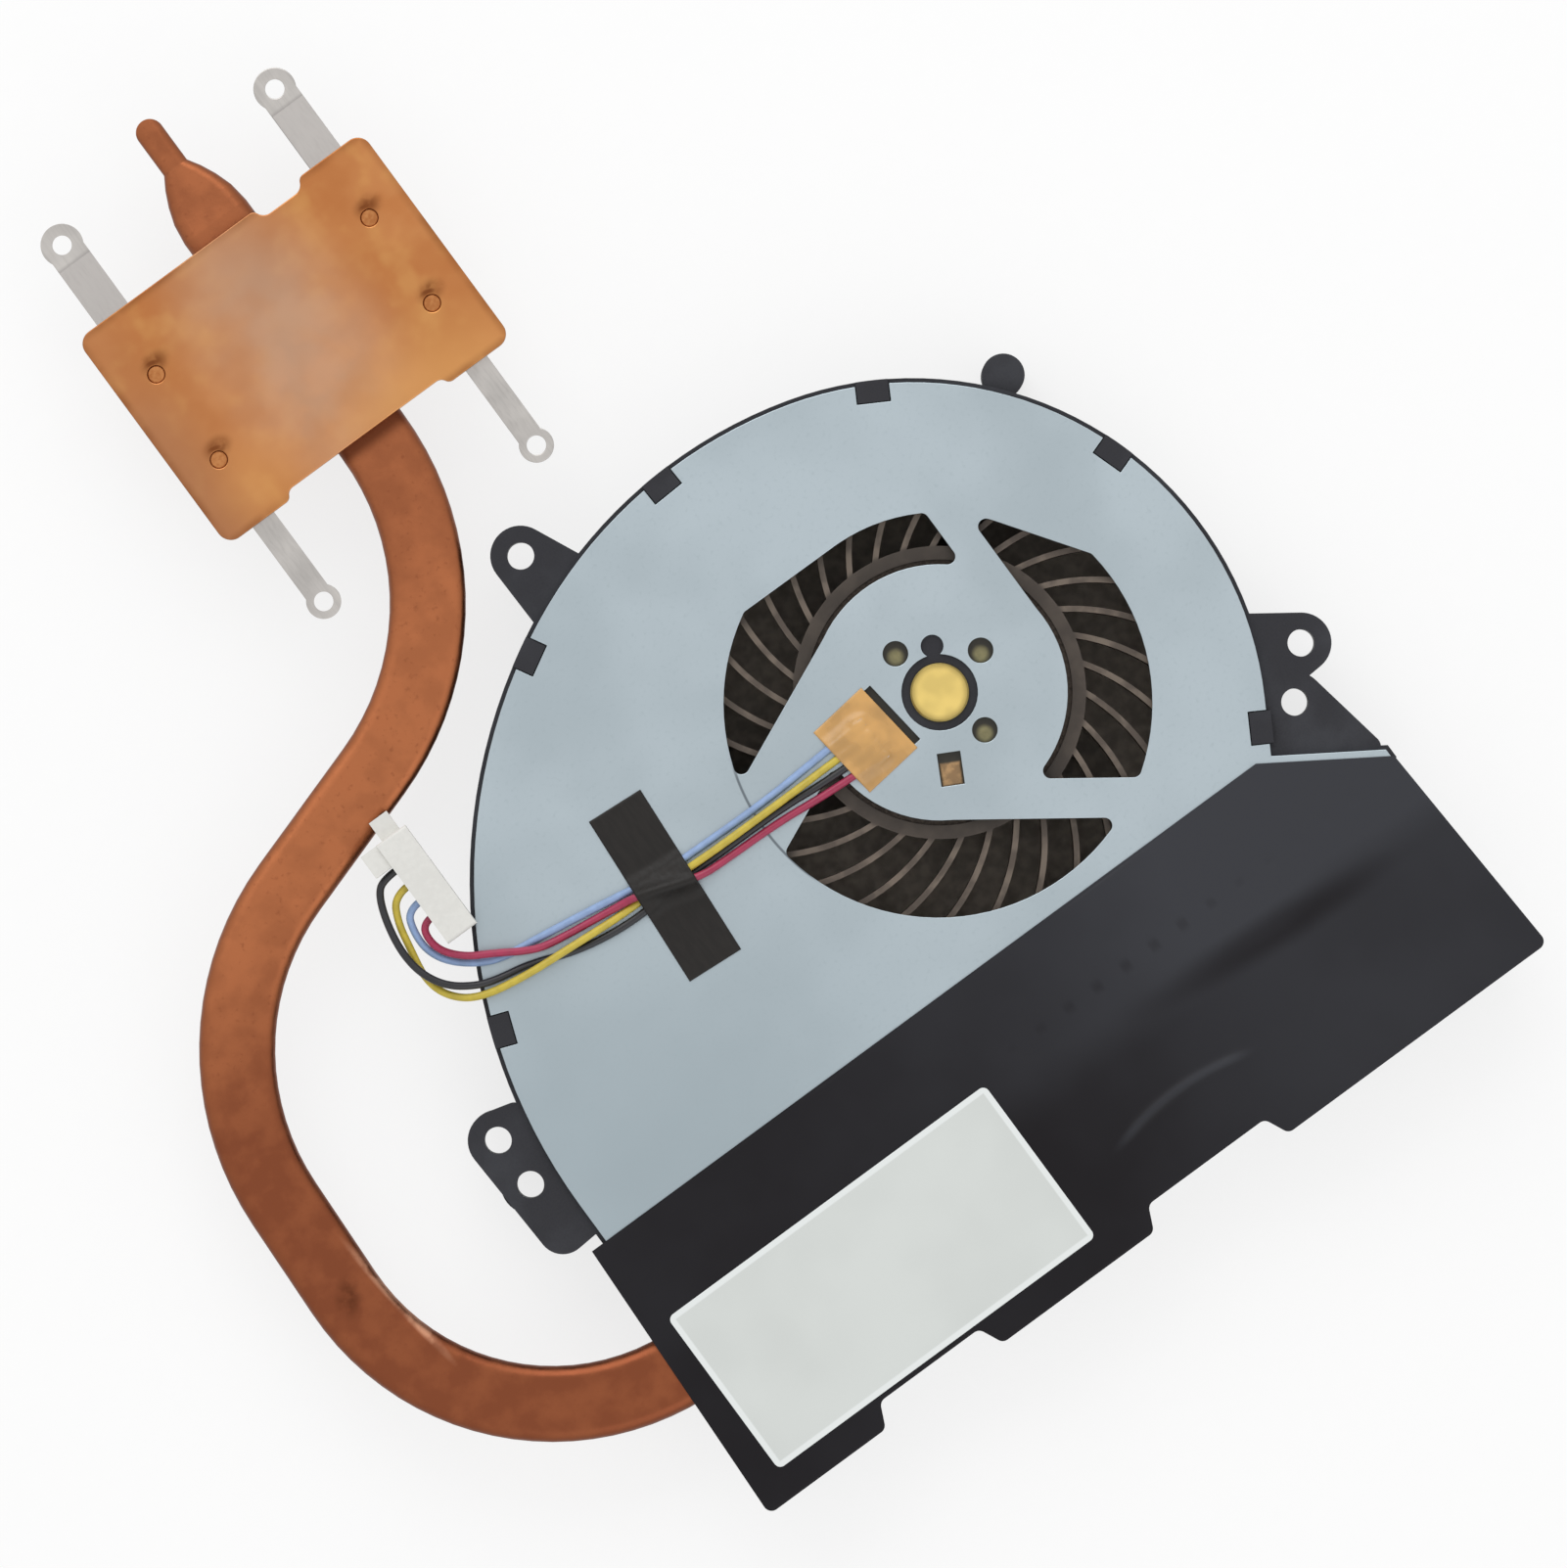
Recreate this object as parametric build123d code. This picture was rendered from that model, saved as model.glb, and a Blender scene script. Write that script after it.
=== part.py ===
from build123d import *
import math
import os

# Laptop cooling module: blower fan, heat pipe, fin stack and spring-loaded cold plate.
# Millimetres. The origin is on the fan's axis at its base, +X runs along the fin stack,
# +Y points from the fins to the cold plate and +Z out of the steel cover.

# Fan case
FAN_HEIGHT = 11.0
COVER_SHEET = 0.8
FLOOR = 1.2
WALL = 1.2
RIM = 0.45
SCROLL_X = -4.9
SCROLL_Y = -2.0
SCROLL_R1 = 36.2
SCROLL_R2 = 48.2
SCROLL_R3 = 56.2
TONGUE_ANGLE = -30.0
FIRST_JOIN = 74.0
SECOND_JOIN = 118.0
SCROLL_END = 180.0
TONGUE_RUN = 6.0
OUTLET_Y = -33.0
DUCT_RIGHT = 33.3
DUCT_CORNER_RISE = 1.3

# Snap tabs in the cover's edge: their angles on each of the scroll's arcs
TAB_ANGLES = ((18.4, 60.3), (92.6,), (119.3, 159.7))
TAB_WIDTH = 3.5
TAB_DEPTH = 1.9
TAB_GAP = 0.1
TAB_FOOT = 4.0
TAB_SUNK = 0.1

# Screw lugs and the stud: places from the scroll that carries them
LUG_SHEET = 2.6
LUG_BOSS = 2.4
SCREW_HOLE_R = 1.4
LUG_LAND = 1.7
LUG_TAIL = 5.6
LUG_TAIL_R = 2.6
LUG_RISE = 7.6
TOP_LUG_FROM = 3.2
TOP_LUG_TO = 11.0
LEFT_LUG_OUT = 2.85
LEFT_SCREW_Y = -10.2
LEFT_LOCATING_Y = -15.8
RIGHT_SCREW = (6.35, 2.3)
RIGHT_LOCATING = (2.25, -2.2)
TOP_SCREW_OUT = 5.1
TOP_SCREW_ANGLE = 109.8
STUD_OUT = 1.95
STUD_ANGLE = 39.6
STUD_R = 2.2

# Cover openings
INLET_X = -0.8
INLET_Y = -0.8
INLET_R = 21.9
INLET_STEP_R = 18.4
STEP_START = (8.0, 36.0)
STEP_END = (92.0, 118.5)
HUB_R = 13.1
SPOKE_INSET = 0.05
SPOKES = ((0.0, 3.4), (114.0, 7.4), (234.5, 4.1))
OPENING_FILLET = 0.8
BASE_HOLE_R = 3.9
KEYHOLE_R = 1.15
KEYHOLE_AT = (4.8, 63.0)
PORT_R = 1.3
PORT_RING_R = 6.0
PORT_ANGLES = (9.5, 102.6, -76.0)
SLOT_SIZE = (3.4, 2.4)
SLOT_AT = (7.9, 242.0)

# Motor
FIT = 0.02
TUBE_R = 3.0
TUBE_WALL = 0.65
TUBE_CAP = 0.8
CAP_PROUD = 0.15
BASE_FLANGE_R = 4.6
BASE_SUNK = 0.4
BOARD_SHEET = 0.8
BOARD_R = 11.3
SHAFT_R = 0.75
WASHER = 0.4
SLEEVE_GAP = 0.3
TUBE_CLEAR = 0.6
AIR_GAP = 0.4
MAGNET = 1.4
MAGNET_CLEAR = 0.6
CORE_STACK = 3.2
CORE_RING = 1.8
TOOTH = 1.8
TOOTH_TIP = 0.9
TOOTH_SPAN = 44.0
TEETH = 6
COIL_BUILD = 0.9
COIL_GAP = 0.05

# Rotor
IMPELLER_R = 27.5
HUB_OUTER_R = 15.0
HUB_WALL = 1.4
HUB_DISC = 0.8
HUB_GAP = 0.5
YOKE_SHEET = 0.6
YOKE_SUNK = 0.6
BLADES = 31
BLADE_SHEET = 0.6
BLADE_LEAN = 29.0
BLADE_GAP = 1.0

# Fin stack
FIN_PITCH = 1.6
FIN_SHEET = 0.25
FIN_DEPTH = 21.5
FIN_GAP = 0.3
LIP_GAP = 0.08
FIN_BASE = 0.5
FIN_LEFT_OVER = 1.5

# Heat pipe, flattened from round
PIPE_WIDTH = 7.8
PIPE_THICK = 2.8
PIPE_IN_FINS = 6.9
PIPE_LEFT = -86.6
PIPE_SHOULDER = (-84.1, 17.3)
PIPE_TURN_Y = 34.2
PIPE_BENDS = (25.7, 28.3, 29.1)
PIPE_END_SHORT = 2.0
PIPE_PAST_PLATE = 1.5
PIPE_SLOT_GAP = 0.05
TAIL_STEPS = ((2.2, 7.2), (4.0, 6.0), (5.6, 4.5), (6.9, 2.9))
TAIL_THICK = 1.9
TAIL_TIP = 5.8

# Cold plate and its springs
PLATE_X = -31.75
PLATE_Y = 68.1
PLATE_WIDTH = 36.0
PLATE_LENGTH = 26.0
PLATE_SHEET = 1.5
PLATE_CORNER = 1.5
LOW_DIP = 0.9
HIGH_DIP = 1.2
DIP_ROUND = 0.8
PLATE_EAR = 8.0
PIPE_OFF_CENTRE = 0.55
SPRING_PITCH = 27.0
SPRING_SPAN = 45.2
SPRING_OFF_CENTRE = 0.7
SPRING_SHEET = 0.5
SPRING_DROP = 1.6
UPPER_ARM = 3.9
LOWER_ARM = 2.7
UPPER_EYE_R = 2.2
LOWER_EYE_R = 1.8
EYE_HOLE_R = 1.0
RIVET_PITCH = 10.8
RIVET_R = 0.9
RIVET_HEAD_R = 1.6
RIVET_HEAD = 0.5
RIVET_SUNK = 0.2

# Films
TAPE = 0.15
TAPE_TOP_Y = -25.0
TAPE_SIDE = 0.3
TAPE_FLARE = 1.3
TAPE_REVEAL = 0.7
TAPE_FLAP = 2.6
TAPE_SKIRT = 4.0
FLAP_RECESSES = ((-47.8, -35.3), (-13.8, 0.9))
FLAP_SLOPE = 1.2
FLAP_CORNER = 0.9
LABEL = 0.1
LABEL_SIZE = (40.2, 19.2)
LABEL_AT = (-40.15, -44.65)
LABEL_CORNER = 0.7
STRIP_AT = (-34.3, 0.7)
STRIP_SIZE = (6.2, 19.3)
STRIP_TURN = -4.0
STRIP_RISE = 2.05
STRIP_HUMP = (-2.2, 4.6)
STRIP_SLOPE = 1.4
PATCH_AT = (-9.0, 0.55)
PATCH_SIZE = (6.7, 8.4)
PATCH_TURN = 7.0
PATCH_RISE = 0.95
PATCH_FOOT = 0.45
PATCH_SLOPE = 0.35
WINDOW_WIDTH = 5.6
WINDOW_SHOWS = 0.8

# Wires and connector: each route is a list of x, y and height above the cover
WIRE_R = 0.4
WIRE_SIDES = 6
BEND_SHARE = 0.45
WIRE_ROUTES = {
    "fan_wire_red": (
        (-9.4, -1.8, 0.45),
        (-15.0, -1.6, 0.45),
        (-21.0, -0.95, 0.45),
        (-28.0, -0.85, 0.5),
        (-31.0, -0.7, 1.5),
        (-37.0, 1.5, 1.5),
        (-39.6, 1.85, 0.5),
        (-46.5, 2.7, 0.5),
        (-49.0, 3.3, 1.4),
        (-52.6, 5.6, 1.4),
        (-55.0, 6.9, 1.4),
        (-56.8, 9.0, 1.5),
        (-57.0, 11.2, 1.5),
        (-56.2, 12.2, 1.5),
        (-55.2, 12.2, 1.5),
    ),
    "fan_wire_blue": (
        (-9.4, 2.2, 0.45),
        (-15.0, 1.9, 0.45),
        (-21.0, 1.55, 0.45),
        (-31.0, 1.75, 0.45),
        (-35.0, 1.95, 0.45),
        (-40.0, 2.85, 0.45),
        (-48.2, 4.1, 0.45),
        (-51.5, 4.45, 0.45),
        (-54.1, 5.4, 0.5),
        (-56.6, 7.4, 0.6),
        (-57.8, 9.6, 0.6),
        (-57.8, 12.0, 1.0),
        (-57.0, 14.2, 1.5),
        (-55.2, 14.2, 1.5),
    ),
    "fan_wire_black": (
        (-9.4, -0.6, 0.45),
        (-15.0, -0.5, 0.45),
        (-20.0, 0.05, 0.45),
        (-31.0, 0.05, 0.45),
        (-35.0, -0.15, 0.45),
        (-40.0, -0.3, 0.45),
        (-45.5, 0.6, 0.45),
        (-50.0, 2.4, 0.45),
        (-53.7, 3.1, 0.6),
        (-55.8, 3.8, 0.9),
        (-58.3, 5.6, 1.5),
        (-59.7, 8.2, 1.6),
        (-60.0, 11.2, 1.6),
        (-59.4, 14.6, 1.55),
        (-58.4, 17.2, 1.5),
        (-57.2, 18.2, 1.5),
        (-55.2, 18.2, 1.5),
    ),
    "fan_wire_yellow": (
        (-9.4, 0.7, 0.45),
        (-13.5, 0.68, 0.45),
        (-18.5, 0.6, 1.15),
        (-27.0, 0.6, 1.2),
        (-31.0, 0.7, 1.1),
        (-35.0, 0.9, 0.47),
        (-40.0, 0.9, 0.5),
        (-45.5, 1.3, 1.4),
        (-51.5, 1.7, 1.4),
        (-56.6, 2.7, 0.7),
        (-59.0, 4.9, 0.6),
        (-59.7, 7.6, 0.6),
        (-59.1, 10.8, 0.7),
        (-58.5, 13.8, 1.1),
        (-57.2, 16.2, 1.5),
        (-55.2, 16.2, 1.5),
    ),
}
JOINT_LENGTH = 1.4
CONNECTOR_SIZE = (3.6, 12.4, 3.2)
CONNECTOR_LEFT = -55.6
CAVITY = 1.5
KEY_SIZE = (2.2, 2.3, 1.6)
EAR_SIZE = (2.0, 2.7)
TERMINAL_SIZE = (2.2, 0.9, 0.9)
CONNECTOR_EDGE = 0.3

# Levels and places worked out from the sizes above
WALL_TOP = FAN_HEIGHT - COVER_SHEET
HUB_TOP = WALL_TOP - BLADE_GAP
HUB_LOW = FLOOR + HUB_GAP
YOKE_FLOOR = HUB_LOW + HUB_DISC
YOKE_R = HUB_OUTER_R - HUB_WALL - FIT
YOKE_TOP = HUB_TOP - YOKE_SUNK
MAGNET_R = YOKE_R - YOKE_SHEET - FIT
MAGNET_LOW = YOKE_FLOOR + YOKE_SHEET + MAGNET_CLEAR
MAGNET_HIGH = YOKE_TOP - YOKE_SUNK
CORE_R = MAGNET_R - MAGNET - AIR_GAP
CORE_Z = (MAGNET_LOW + MAGNET_HIGH) / 2
TUBE_LOW = YOKE_FLOOR + YOKE_SHEET + TUBE_CLEAR
CAP_UNDER = FAN_HEIGHT + CAP_PROUD - TUBE_CAP
WASHER_LOW = CAP_UNDER - WASHER
FIN_FRONT = OUTLET_Y - FIN_GAP
FIN_BACK = FIN_FRONT - FIN_DEPTH
PIPE_Y = FIN_FRONT - PIPE_IN_FINS
PIPE_Z = FAN_HEIGHT - PIPE_THICK / 2
PIPE_PLATE_X = PLATE_X + PIPE_OFF_CENTRE
PLATE_BACK = PLATE_Y + PLATE_LENGTH / 2


def polar(radius, degrees, centre=(0.0, 0.0)):
    """The point at a radius and an angle from a centre, in plan."""
    angle = math.radians(degrees)
    return (centre[0] + radius * math.cos(angle), centre[1] + radius * math.sin(angle))


def ring(outer, inner, low, high):
    """A tube about the fan's axis."""
    return Pos(0, 0, low) * extrude(Circle(outer) - Circle(inner), high - low)


def scroll_arcs():
    """Centre and radius of the scroll's three arcs, each tangent to the one before it."""
    first = (SCROLL_X, SCROLL_Y)
    second = polar(SCROLL_R1 - SCROLL_R2, FIRST_JOIN, first)
    third = polar(SCROLL_R2 - SCROLL_R3, SECOND_JOIN, second)
    return ((first, SCROLL_R1), (second, SCROLL_R2), (third, SCROLL_R3))


def tongue_points():
    """Where the scroll's first arc starts, and the tongue's corner on the tangent from there."""
    centre, radius = scroll_arcs()[0]
    start = polar(radius, TONGUE_ANGLE, centre)
    return start, polar(TONGUE_RUN, TONGUE_ANGLE - 90, start)


def duct_left():
    centre, radius = scroll_arcs()[2]
    return centre[0] - radius


FIN_LEFT = duct_left() - FIN_LEFT_OVER
DUCT_CORNER = (DUCT_RIGHT, OUTLET_Y + DUCT_CORNER_RISE)


def scroll_face(outlet):
    """The fan's plan to the edge of its cover, from the tongue round the scroll to the outlet."""
    (c1, r1), (c2, r2), (c3, r3) = scroll_arcs()
    start, tongue = tongue_points()
    end = polar(r3, SCROLL_END, c3)
    return make_face(
        [
            CenterArc(c1, r1, TONGUE_ANGLE, FIRST_JOIN - TONGUE_ANGLE),
            CenterArc(c2, r2, FIRST_JOIN, SECOND_JOIN - FIRST_JOIN),
            CenterArc(c3, r3, SECOND_JOIN, SCROLL_END - SECOND_JOIN),
            Polyline(end, (end[0], outlet), (DUCT_RIGHT, outlet), DUCT_CORNER, tongue, start),
        ]
    )


def tab_places():
    """Point on the cover's edge and outward angle of each snap tab, the tongue's last."""
    places = [(polar(radius, angle, centre), angle)
              for (centre, radius), angles in zip(scroll_arcs(), TAB_ANGLES) for angle in angles]
    start, tongue = tongue_points()
    middle = ((start[0] + tongue[0]) / 2, (start[1] + tongue[1]) / 2)
    return places + [(middle, TONGUE_ANGLE)]


def tab_blocks(gap, low, high):
    """A block at each snap tab, from outside the edge inwards, smaller all round by a gap."""
    length = TAB_DEPTH - gap + WALL
    block = Box(length, TAB_WIDTH - 2 * gap, high - low, align=(Align.MIN, Align.CENTER, Align.MIN))
    return [Pos(x, y, low) * Rot(0, 0, angle) * Pos(gap - TAB_DEPTH, 0, 0) * block
            for (x, y), angle in tab_places()]


def hull(*circles):
    """The tight outline round circles given as x, y and radius."""
    return make_hull([CenterArc((x, y), radius, 0, 360) for x, y, radius in circles])


def lug_holes():
    """Screw and locating holes of the left lug, then of the right one, then the top lug's screw hole."""
    (c1, r1), (c2, r2), (c3, r3) = scroll_arcs()
    start, tongue = tongue_points()
    left_x = duct_left() - LEFT_LUG_OUT
    return (
        (left_x, LEFT_SCREW_Y),
        (left_x, LEFT_LOCATING_Y),
        (start[0] + RIGHT_SCREW[0], start[1] + RIGHT_SCREW[1]),
        (start[0] + RIGHT_LOCATING[0], start[1] + RIGHT_LOCATING[1]),
        polar(r2 + TOP_SCREW_OUT, TOP_SCREW_ANGLE, c2),
    )


def lug_plates():
    """Plan of the flat lugs, each run into the scroll wall that carries it."""
    wall_x = duct_left()
    land = SCREW_HOLE_R + LUG_LAND
    (c1, r1), (c2, r2), (c3, r3) = scroll_arcs()
    start, tongue = tongue_points()
    left_screw, left_locating, right_screw, right_locating, top_screw = lug_holes()
    tail_y = left_locating[1] - LUG_TAIL
    left = hull(
        (*left_screw, land),
        (left_locating[0], tail_y, LUG_TAIL_R),
        (wall_x, left_screw[1] + WALL, WALL),
        (wall_x, tail_y - WALL, WALL),
    )
    rise = math.degrees(LUG_RISE / r1)
    right = hull((*right_screw, land), (*polar(r1, TONGUE_ANGLE + rise, c1), WALL), (*start, WALL))
    inner_right = hull(
        (*right_locating, land),
        (tongue[0] + WALL, tongue[1] + WALL, WALL),
        (DUCT_RIGHT - WALL, DUCT_CORNER[1] + WALL, WALL),
        (*start, WALL),
    )
    top = hull(
        (*top_screw, land),
        (*polar(r3, SECOND_JOIN - TOP_LUG_FROM, c3), WALL),
        (*polar(r2, SECOND_JOIN - TOP_LUG_TO, c2), WALL),
    )
    return [left, right, inner_right, top]


def inside_outlet(plan):
    """A plan of the fan cut off at the outlet."""
    reach = 4 * SCROLL_R3
    return plan & Pos(0, OUTLET_Y) * Rectangle(reach, reach, align=(Align.CENTER, Align.MIN))


def case_plan(grown, kind=Kind.ARC):
    """The cover's plan grown by a distance on all sides but the outlet's, which is left open."""
    return inside_outlet(offset(scroll_face(OUTLET_Y - FIN_DEPTH), grown, kind=kind))


def housing_floor():
    """Closed floor of the moulded case, inside its wall."""
    return extrude(case_plan(RIM - WALL), FLOOR)


def fan_housing():
    """Moulded case round its floor: scroll wall, lugs, stud and snap tabs."""
    outer = case_plan(RIM, Kind.INTERSECTION)
    air = extrude(case_plan(RIM - WALL), FAN_HEIGHT)
    case = extrude(outer, WALL_TOP) - air
    lug_low = WALL_TOP - LUG_SHEET
    lugs = [Pos(0, 0, lug_low) * extrude(face, LUG_SHEET) for face in lug_plates()]
    boss = extrude(Circle(SCREW_HOLE_R + LUG_LAND), LUG_BOSS)
    bosses = [Pos(x, y, lug_low - LUG_BOSS) * boss for x, y in lug_holes()]
    first, first_r = scroll_arcs()[0]
    stud_place = polar(first_r + STUD_OUT, STUD_ANGLE, first)
    stud = Pos(*stud_place) * extrude(Circle(STUD_R), lug_low + LUG_SHEET / 2)
    tabs = [extrude(outer, FAN_HEIGHT) & block
            for block in tab_blocks(TAB_GAP, WALL_TOP - TAB_FOOT, FAN_HEIGHT - TAB_SUNK)]
    case = case + ((Part() + lugs + bosses + stud) - air) + tabs
    return case - [Pos(x, y) * extrude(Circle(SCREW_HOLE_R), FAN_HEIGHT) for x, y in lug_holes()]


def inlet_openings():
    """The three air openings: a stepped disc less the hub and its tangential spokes."""
    centre = (INLET_X, INLET_Y)
    rim_end, step_start = STEP_START
    step_end, rim_start = STEP_END
    disc = make_face(
        [
            CenterArc(centre, INLET_R, rim_start, rim_end - rim_start + 360),
            Line(polar(INLET_R, rim_end, centre), polar(INLET_STEP_R, step_start)),
            CenterArc((0, 0), INLET_STEP_R, step_start, step_end - step_start),
            Line(polar(INLET_STEP_R, step_end), polar(INLET_R, rim_start, centre)),
        ]
    )
    hub = Circle(HUB_R)
    for angle, width in SPOKES:
        bar = Rectangle(width, 2 * INLET_R, align=(Align.MAX, Align.MIN))
        hub += Rot(0, 0, angle) * Pos(HUB_R - SPOKE_INSET, 0) * bar
    return [offset(offset(face, -OPENING_FILLET), OPENING_FILLET) for face in (disc - hub).faces()]


def fan_cover():
    """Steel cover: scroll outline, tab notches, inlet openings and the holes in its hub."""
    plan = scroll_face(OUTLET_Y)
    holes = [Circle(BASE_HOLE_R), Pos(*polar(*KEYHOLE_AT)) * Circle(KEYHOLE_R)]
    holes += [Pos(*polar(PORT_RING_R, angle)) * Circle(PORT_R) for angle in PORT_ANGLES]
    holes += [Pos(*polar(*SLOT_AT)) * Rot(0, 0, SLOT_AT[1]) * Rectangle(*SLOT_SIZE)]
    window = Rectangle(WINDOW_WIDTH, PATCH_SIZE[1] - 2 * PATCH_FOOT, align=(Align.MAX, Align.CENTER))
    holes += [Pos(*PATCH_AT) * Rot(0, 0, PATCH_TURN) * Pos(PATCH_SIZE[0] / 2 + WINDOW_SHOWS, 0) * window]
    sheet = extrude(plan - holes - inlet_openings(), COVER_SHEET)
    return Pos(0, 0, WALL_TOP) * sheet - tab_blocks(0.0, WALL_TOP, FAN_HEIGHT)


def motor_base():
    """Moulded ring that carries the brass tube: a flange under the cover and a key in its keyhole."""
    neck = ring(BASE_HOLE_R - FIT, TUBE_R + FIT, WALL_TOP - BOARD_SHEET, FAN_HEIGHT - BASE_SUNK)
    flange = ring(BASE_FLANGE_R, TUBE_R + FIT, WALL_TOP - BOARD_SHEET, WALL_TOP)
    key = Pos(*polar(*KEYHOLE_AT), WALL_TOP) * extrude(Circle(KEYHOLE_R - FIT), COVER_SHEET - BASE_SUNK)
    return neck + flange + key


def motor_board():
    return ring(BOARD_R, BASE_FLANGE_R + FIT, WALL_TOP - BOARD_SHEET, WALL_TOP)


def bearing_tube():
    """Brass tube with a closed end that shows in the middle of the hub."""
    tube = ring(TUBE_R, TUBE_R - TUBE_WALL, TUBE_LOW, CAP_UNDER)
    cap = Pos(0, 0, CAP_UNDER) * extrude(Circle(TUBE_R), TUBE_CAP)
    return chamfer((tube + cap).faces().sort_by(Axis.Z)[-1].edges(), TUBE_CAP / 4)


def bearing_sleeve():
    return ring(TUBE_R - TUBE_WALL - FIT, SHAFT_R + FIT, TUBE_LOW, WASHER_LOW - SLEEVE_GAP)


def thrust_washer():
    return Pos(0, 0, WASHER_LOW) * extrude(Circle(TUBE_R - TUBE_WALL - FIT), WASHER)


def stator_core():
    """Laminated core: a ring on the brass tube with T-shaped teeth."""
    inner = TUBE_R + FIT
    plan = Circle(inner + CORE_RING)
    tip_ring = Circle(CORE_R) - Circle(CORE_R - TOOTH_TIP)
    half = TOOTH_SPAN / 2
    wedge = make_face(Polyline((0, 0), polar(2 * CORE_R, -half), polar(2 * CORE_R, half), close=True))
    tip = tip_ring & wedge
    bar = Pos(CORE_R / 2, 0) * Rectangle(CORE_R - TOOTH_TIP / 2, TOOTH)
    for number in range(TEETH):
        plan += Rot(0, 0, number * 360 / TEETH) * (bar + tip)
    plan -= Circle(inner)
    return Pos(0, 0, CORE_Z - CORE_STACK / 2) * extrude(plan, CORE_STACK)


def stator_coils():
    """One winding round each tooth."""
    inside_wide = TOOTH + 2 * COIL_GAP
    inside_high = CORE_STACK + 2 * COIL_GAP
    outside_wide = inside_wide + 2 * COIL_BUILD
    low = math.hypot(TUBE_R + FIT + CORE_RING, outside_wide / 2)
    high = math.sqrt((CORE_R - TOOTH_TIP) ** 2 - (outside_wide / 2) ** 2) - COIL_GAP
    loop = Rectangle(outside_wide, inside_high + 2 * COIL_BUILD)
    coil = extrude(Plane.YZ * (loop - Rectangle(inside_wide, inside_high)), high - low)
    coil = Pos(low, 0, CORE_Z) * coil
    return Compound(children=[Rot(0, 0, number * 360 / TEETH) * coil for number in range(TEETH)])


def solder_joints():
    """A joint on the board at the end of each wire."""
    joints = []
    for route in WIRE_ROUTES.values():
        x, y, height = route[0]
        high = FAN_HEIGHT + height + WIRE_R - WALL_TOP
        block = Box(JOINT_LENGTH, 2 * WIRE_R, high, align=(Align.MIN, Align.CENTER, Align.MIN))
        joints.append(Pos(x, y, WALL_TOP) * block)
    return Compound(children=joints)


def rotor_shaft():
    return Pos(0, 0, HUB_LOW) * extrude(Circle(SHAFT_R), WASHER_LOW - FIT - HUB_LOW)


def rotor_yoke():
    """Steel cup inside the impeller's hub."""
    disc = ring(YOKE_R, SHAFT_R, YOKE_FLOOR, YOKE_FLOOR + YOKE_SHEET)
    return disc + ring(YOKE_R, YOKE_R - YOKE_SHEET, YOKE_FLOOR, YOKE_TOP)


def ring_magnet():
    return ring(MAGNET_R, MAGNET_R - MAGNET, MAGNET_LOW, MAGNET_HIGH)


def blade_face():
    """Plan of one blade: a strip along an arc that leans back from the hub to the tip."""
    root = HUB_OUTER_R - HUB_WALL / 2
    middle = polar((root + IMPELLER_R) / 2, -BLADE_LEAN / 2)
    arc = ThreePointArc(polar(root, 0), middle, polar(IMPELLER_R, -BLADE_LEAN))
    centre = arc.arc_center
    spread = [math.degrees(math.atan2(p.Y - centre.Y, p.X - centre.X)) for p in (arc @ 0, arc @ 1)]
    turn = (spread[1] - spread[0] + 180) % 360 - 180
    inside = CenterArc(centre, arc.radius - BLADE_SHEET / 2, spread[0], turn)
    outside = CenterArc(centre, arc.radius + BLADE_SHEET / 2, spread[0], turn)
    ends = [Line(inside @ 0, outside @ 0), Line(inside @ 1, outside @ 1)]
    return make_face([inside, outside] + ends)


def impeller():
    """Moulded hub cup with blades that lean back against the turn."""
    hub = ring(HUB_OUTER_R, HUB_OUTER_R - HUB_WALL, HUB_LOW, HUB_TOP)
    hub += ring(HUB_OUTER_R, SHAFT_R, HUB_LOW, YOKE_FLOOR)
    hub = chamfer(hub.faces().sort_by(Axis.Z)[0].edges().sort_by(SortBy.RADIUS)[-1], HUB_DISC / 2)
    low = FLOOR + BLADE_GAP
    blade = Pos(0, 0, low) * extrude(blade_face(), HUB_TOP - low)
    bore = Pos(0, 0, YOKE_FLOOR) * extrude(Circle(HUB_OUTER_R - HUB_WALL), FAN_HEIGHT)
    return hub + [Rot(0, 0, number * 360 / BLADES) * blade for number in range(BLADES)] - bore


def fin_count():
    return int((DUCT_RIGHT - FIN_LEFT) / FIN_PITCH)


def fin_stack():
    """Folded fins: a web with a lip at top and bottom that closes the channel to the next fin."""
    height = FAN_HEIGHT - FIN_BASE
    lip = FIN_PITCH - LIP_GAP
    profile = Rectangle(lip, height, align=Align.MIN)
    profile -= Pos(FIN_SHEET, FIN_SHEET) * Rectangle(lip, height - 2 * FIN_SHEET, align=Align.MIN)
    fin = Pos(0, FIN_FRONT, FIN_BASE) * extrude(Plane.XZ * profile, FIN_DEPTH)
    slot = Box(2 * FIN_PITCH, PIPE_WIDTH + 2 * PIPE_SLOT_GAP, PIPE_THICK + PIPE_SLOT_GAP,
               align=(Align.CENTER, Align.CENTER, Align.MAX))
    fin -= Pos(0, PIPE_Y, FAN_HEIGHT) * slot
    count = fin_count()
    first = DUCT_RIGHT - count * FIN_PITCH
    return Compound(children=[Pos(first + number * FIN_PITCH, 0, 0) * fin for number in range(count)])


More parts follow.
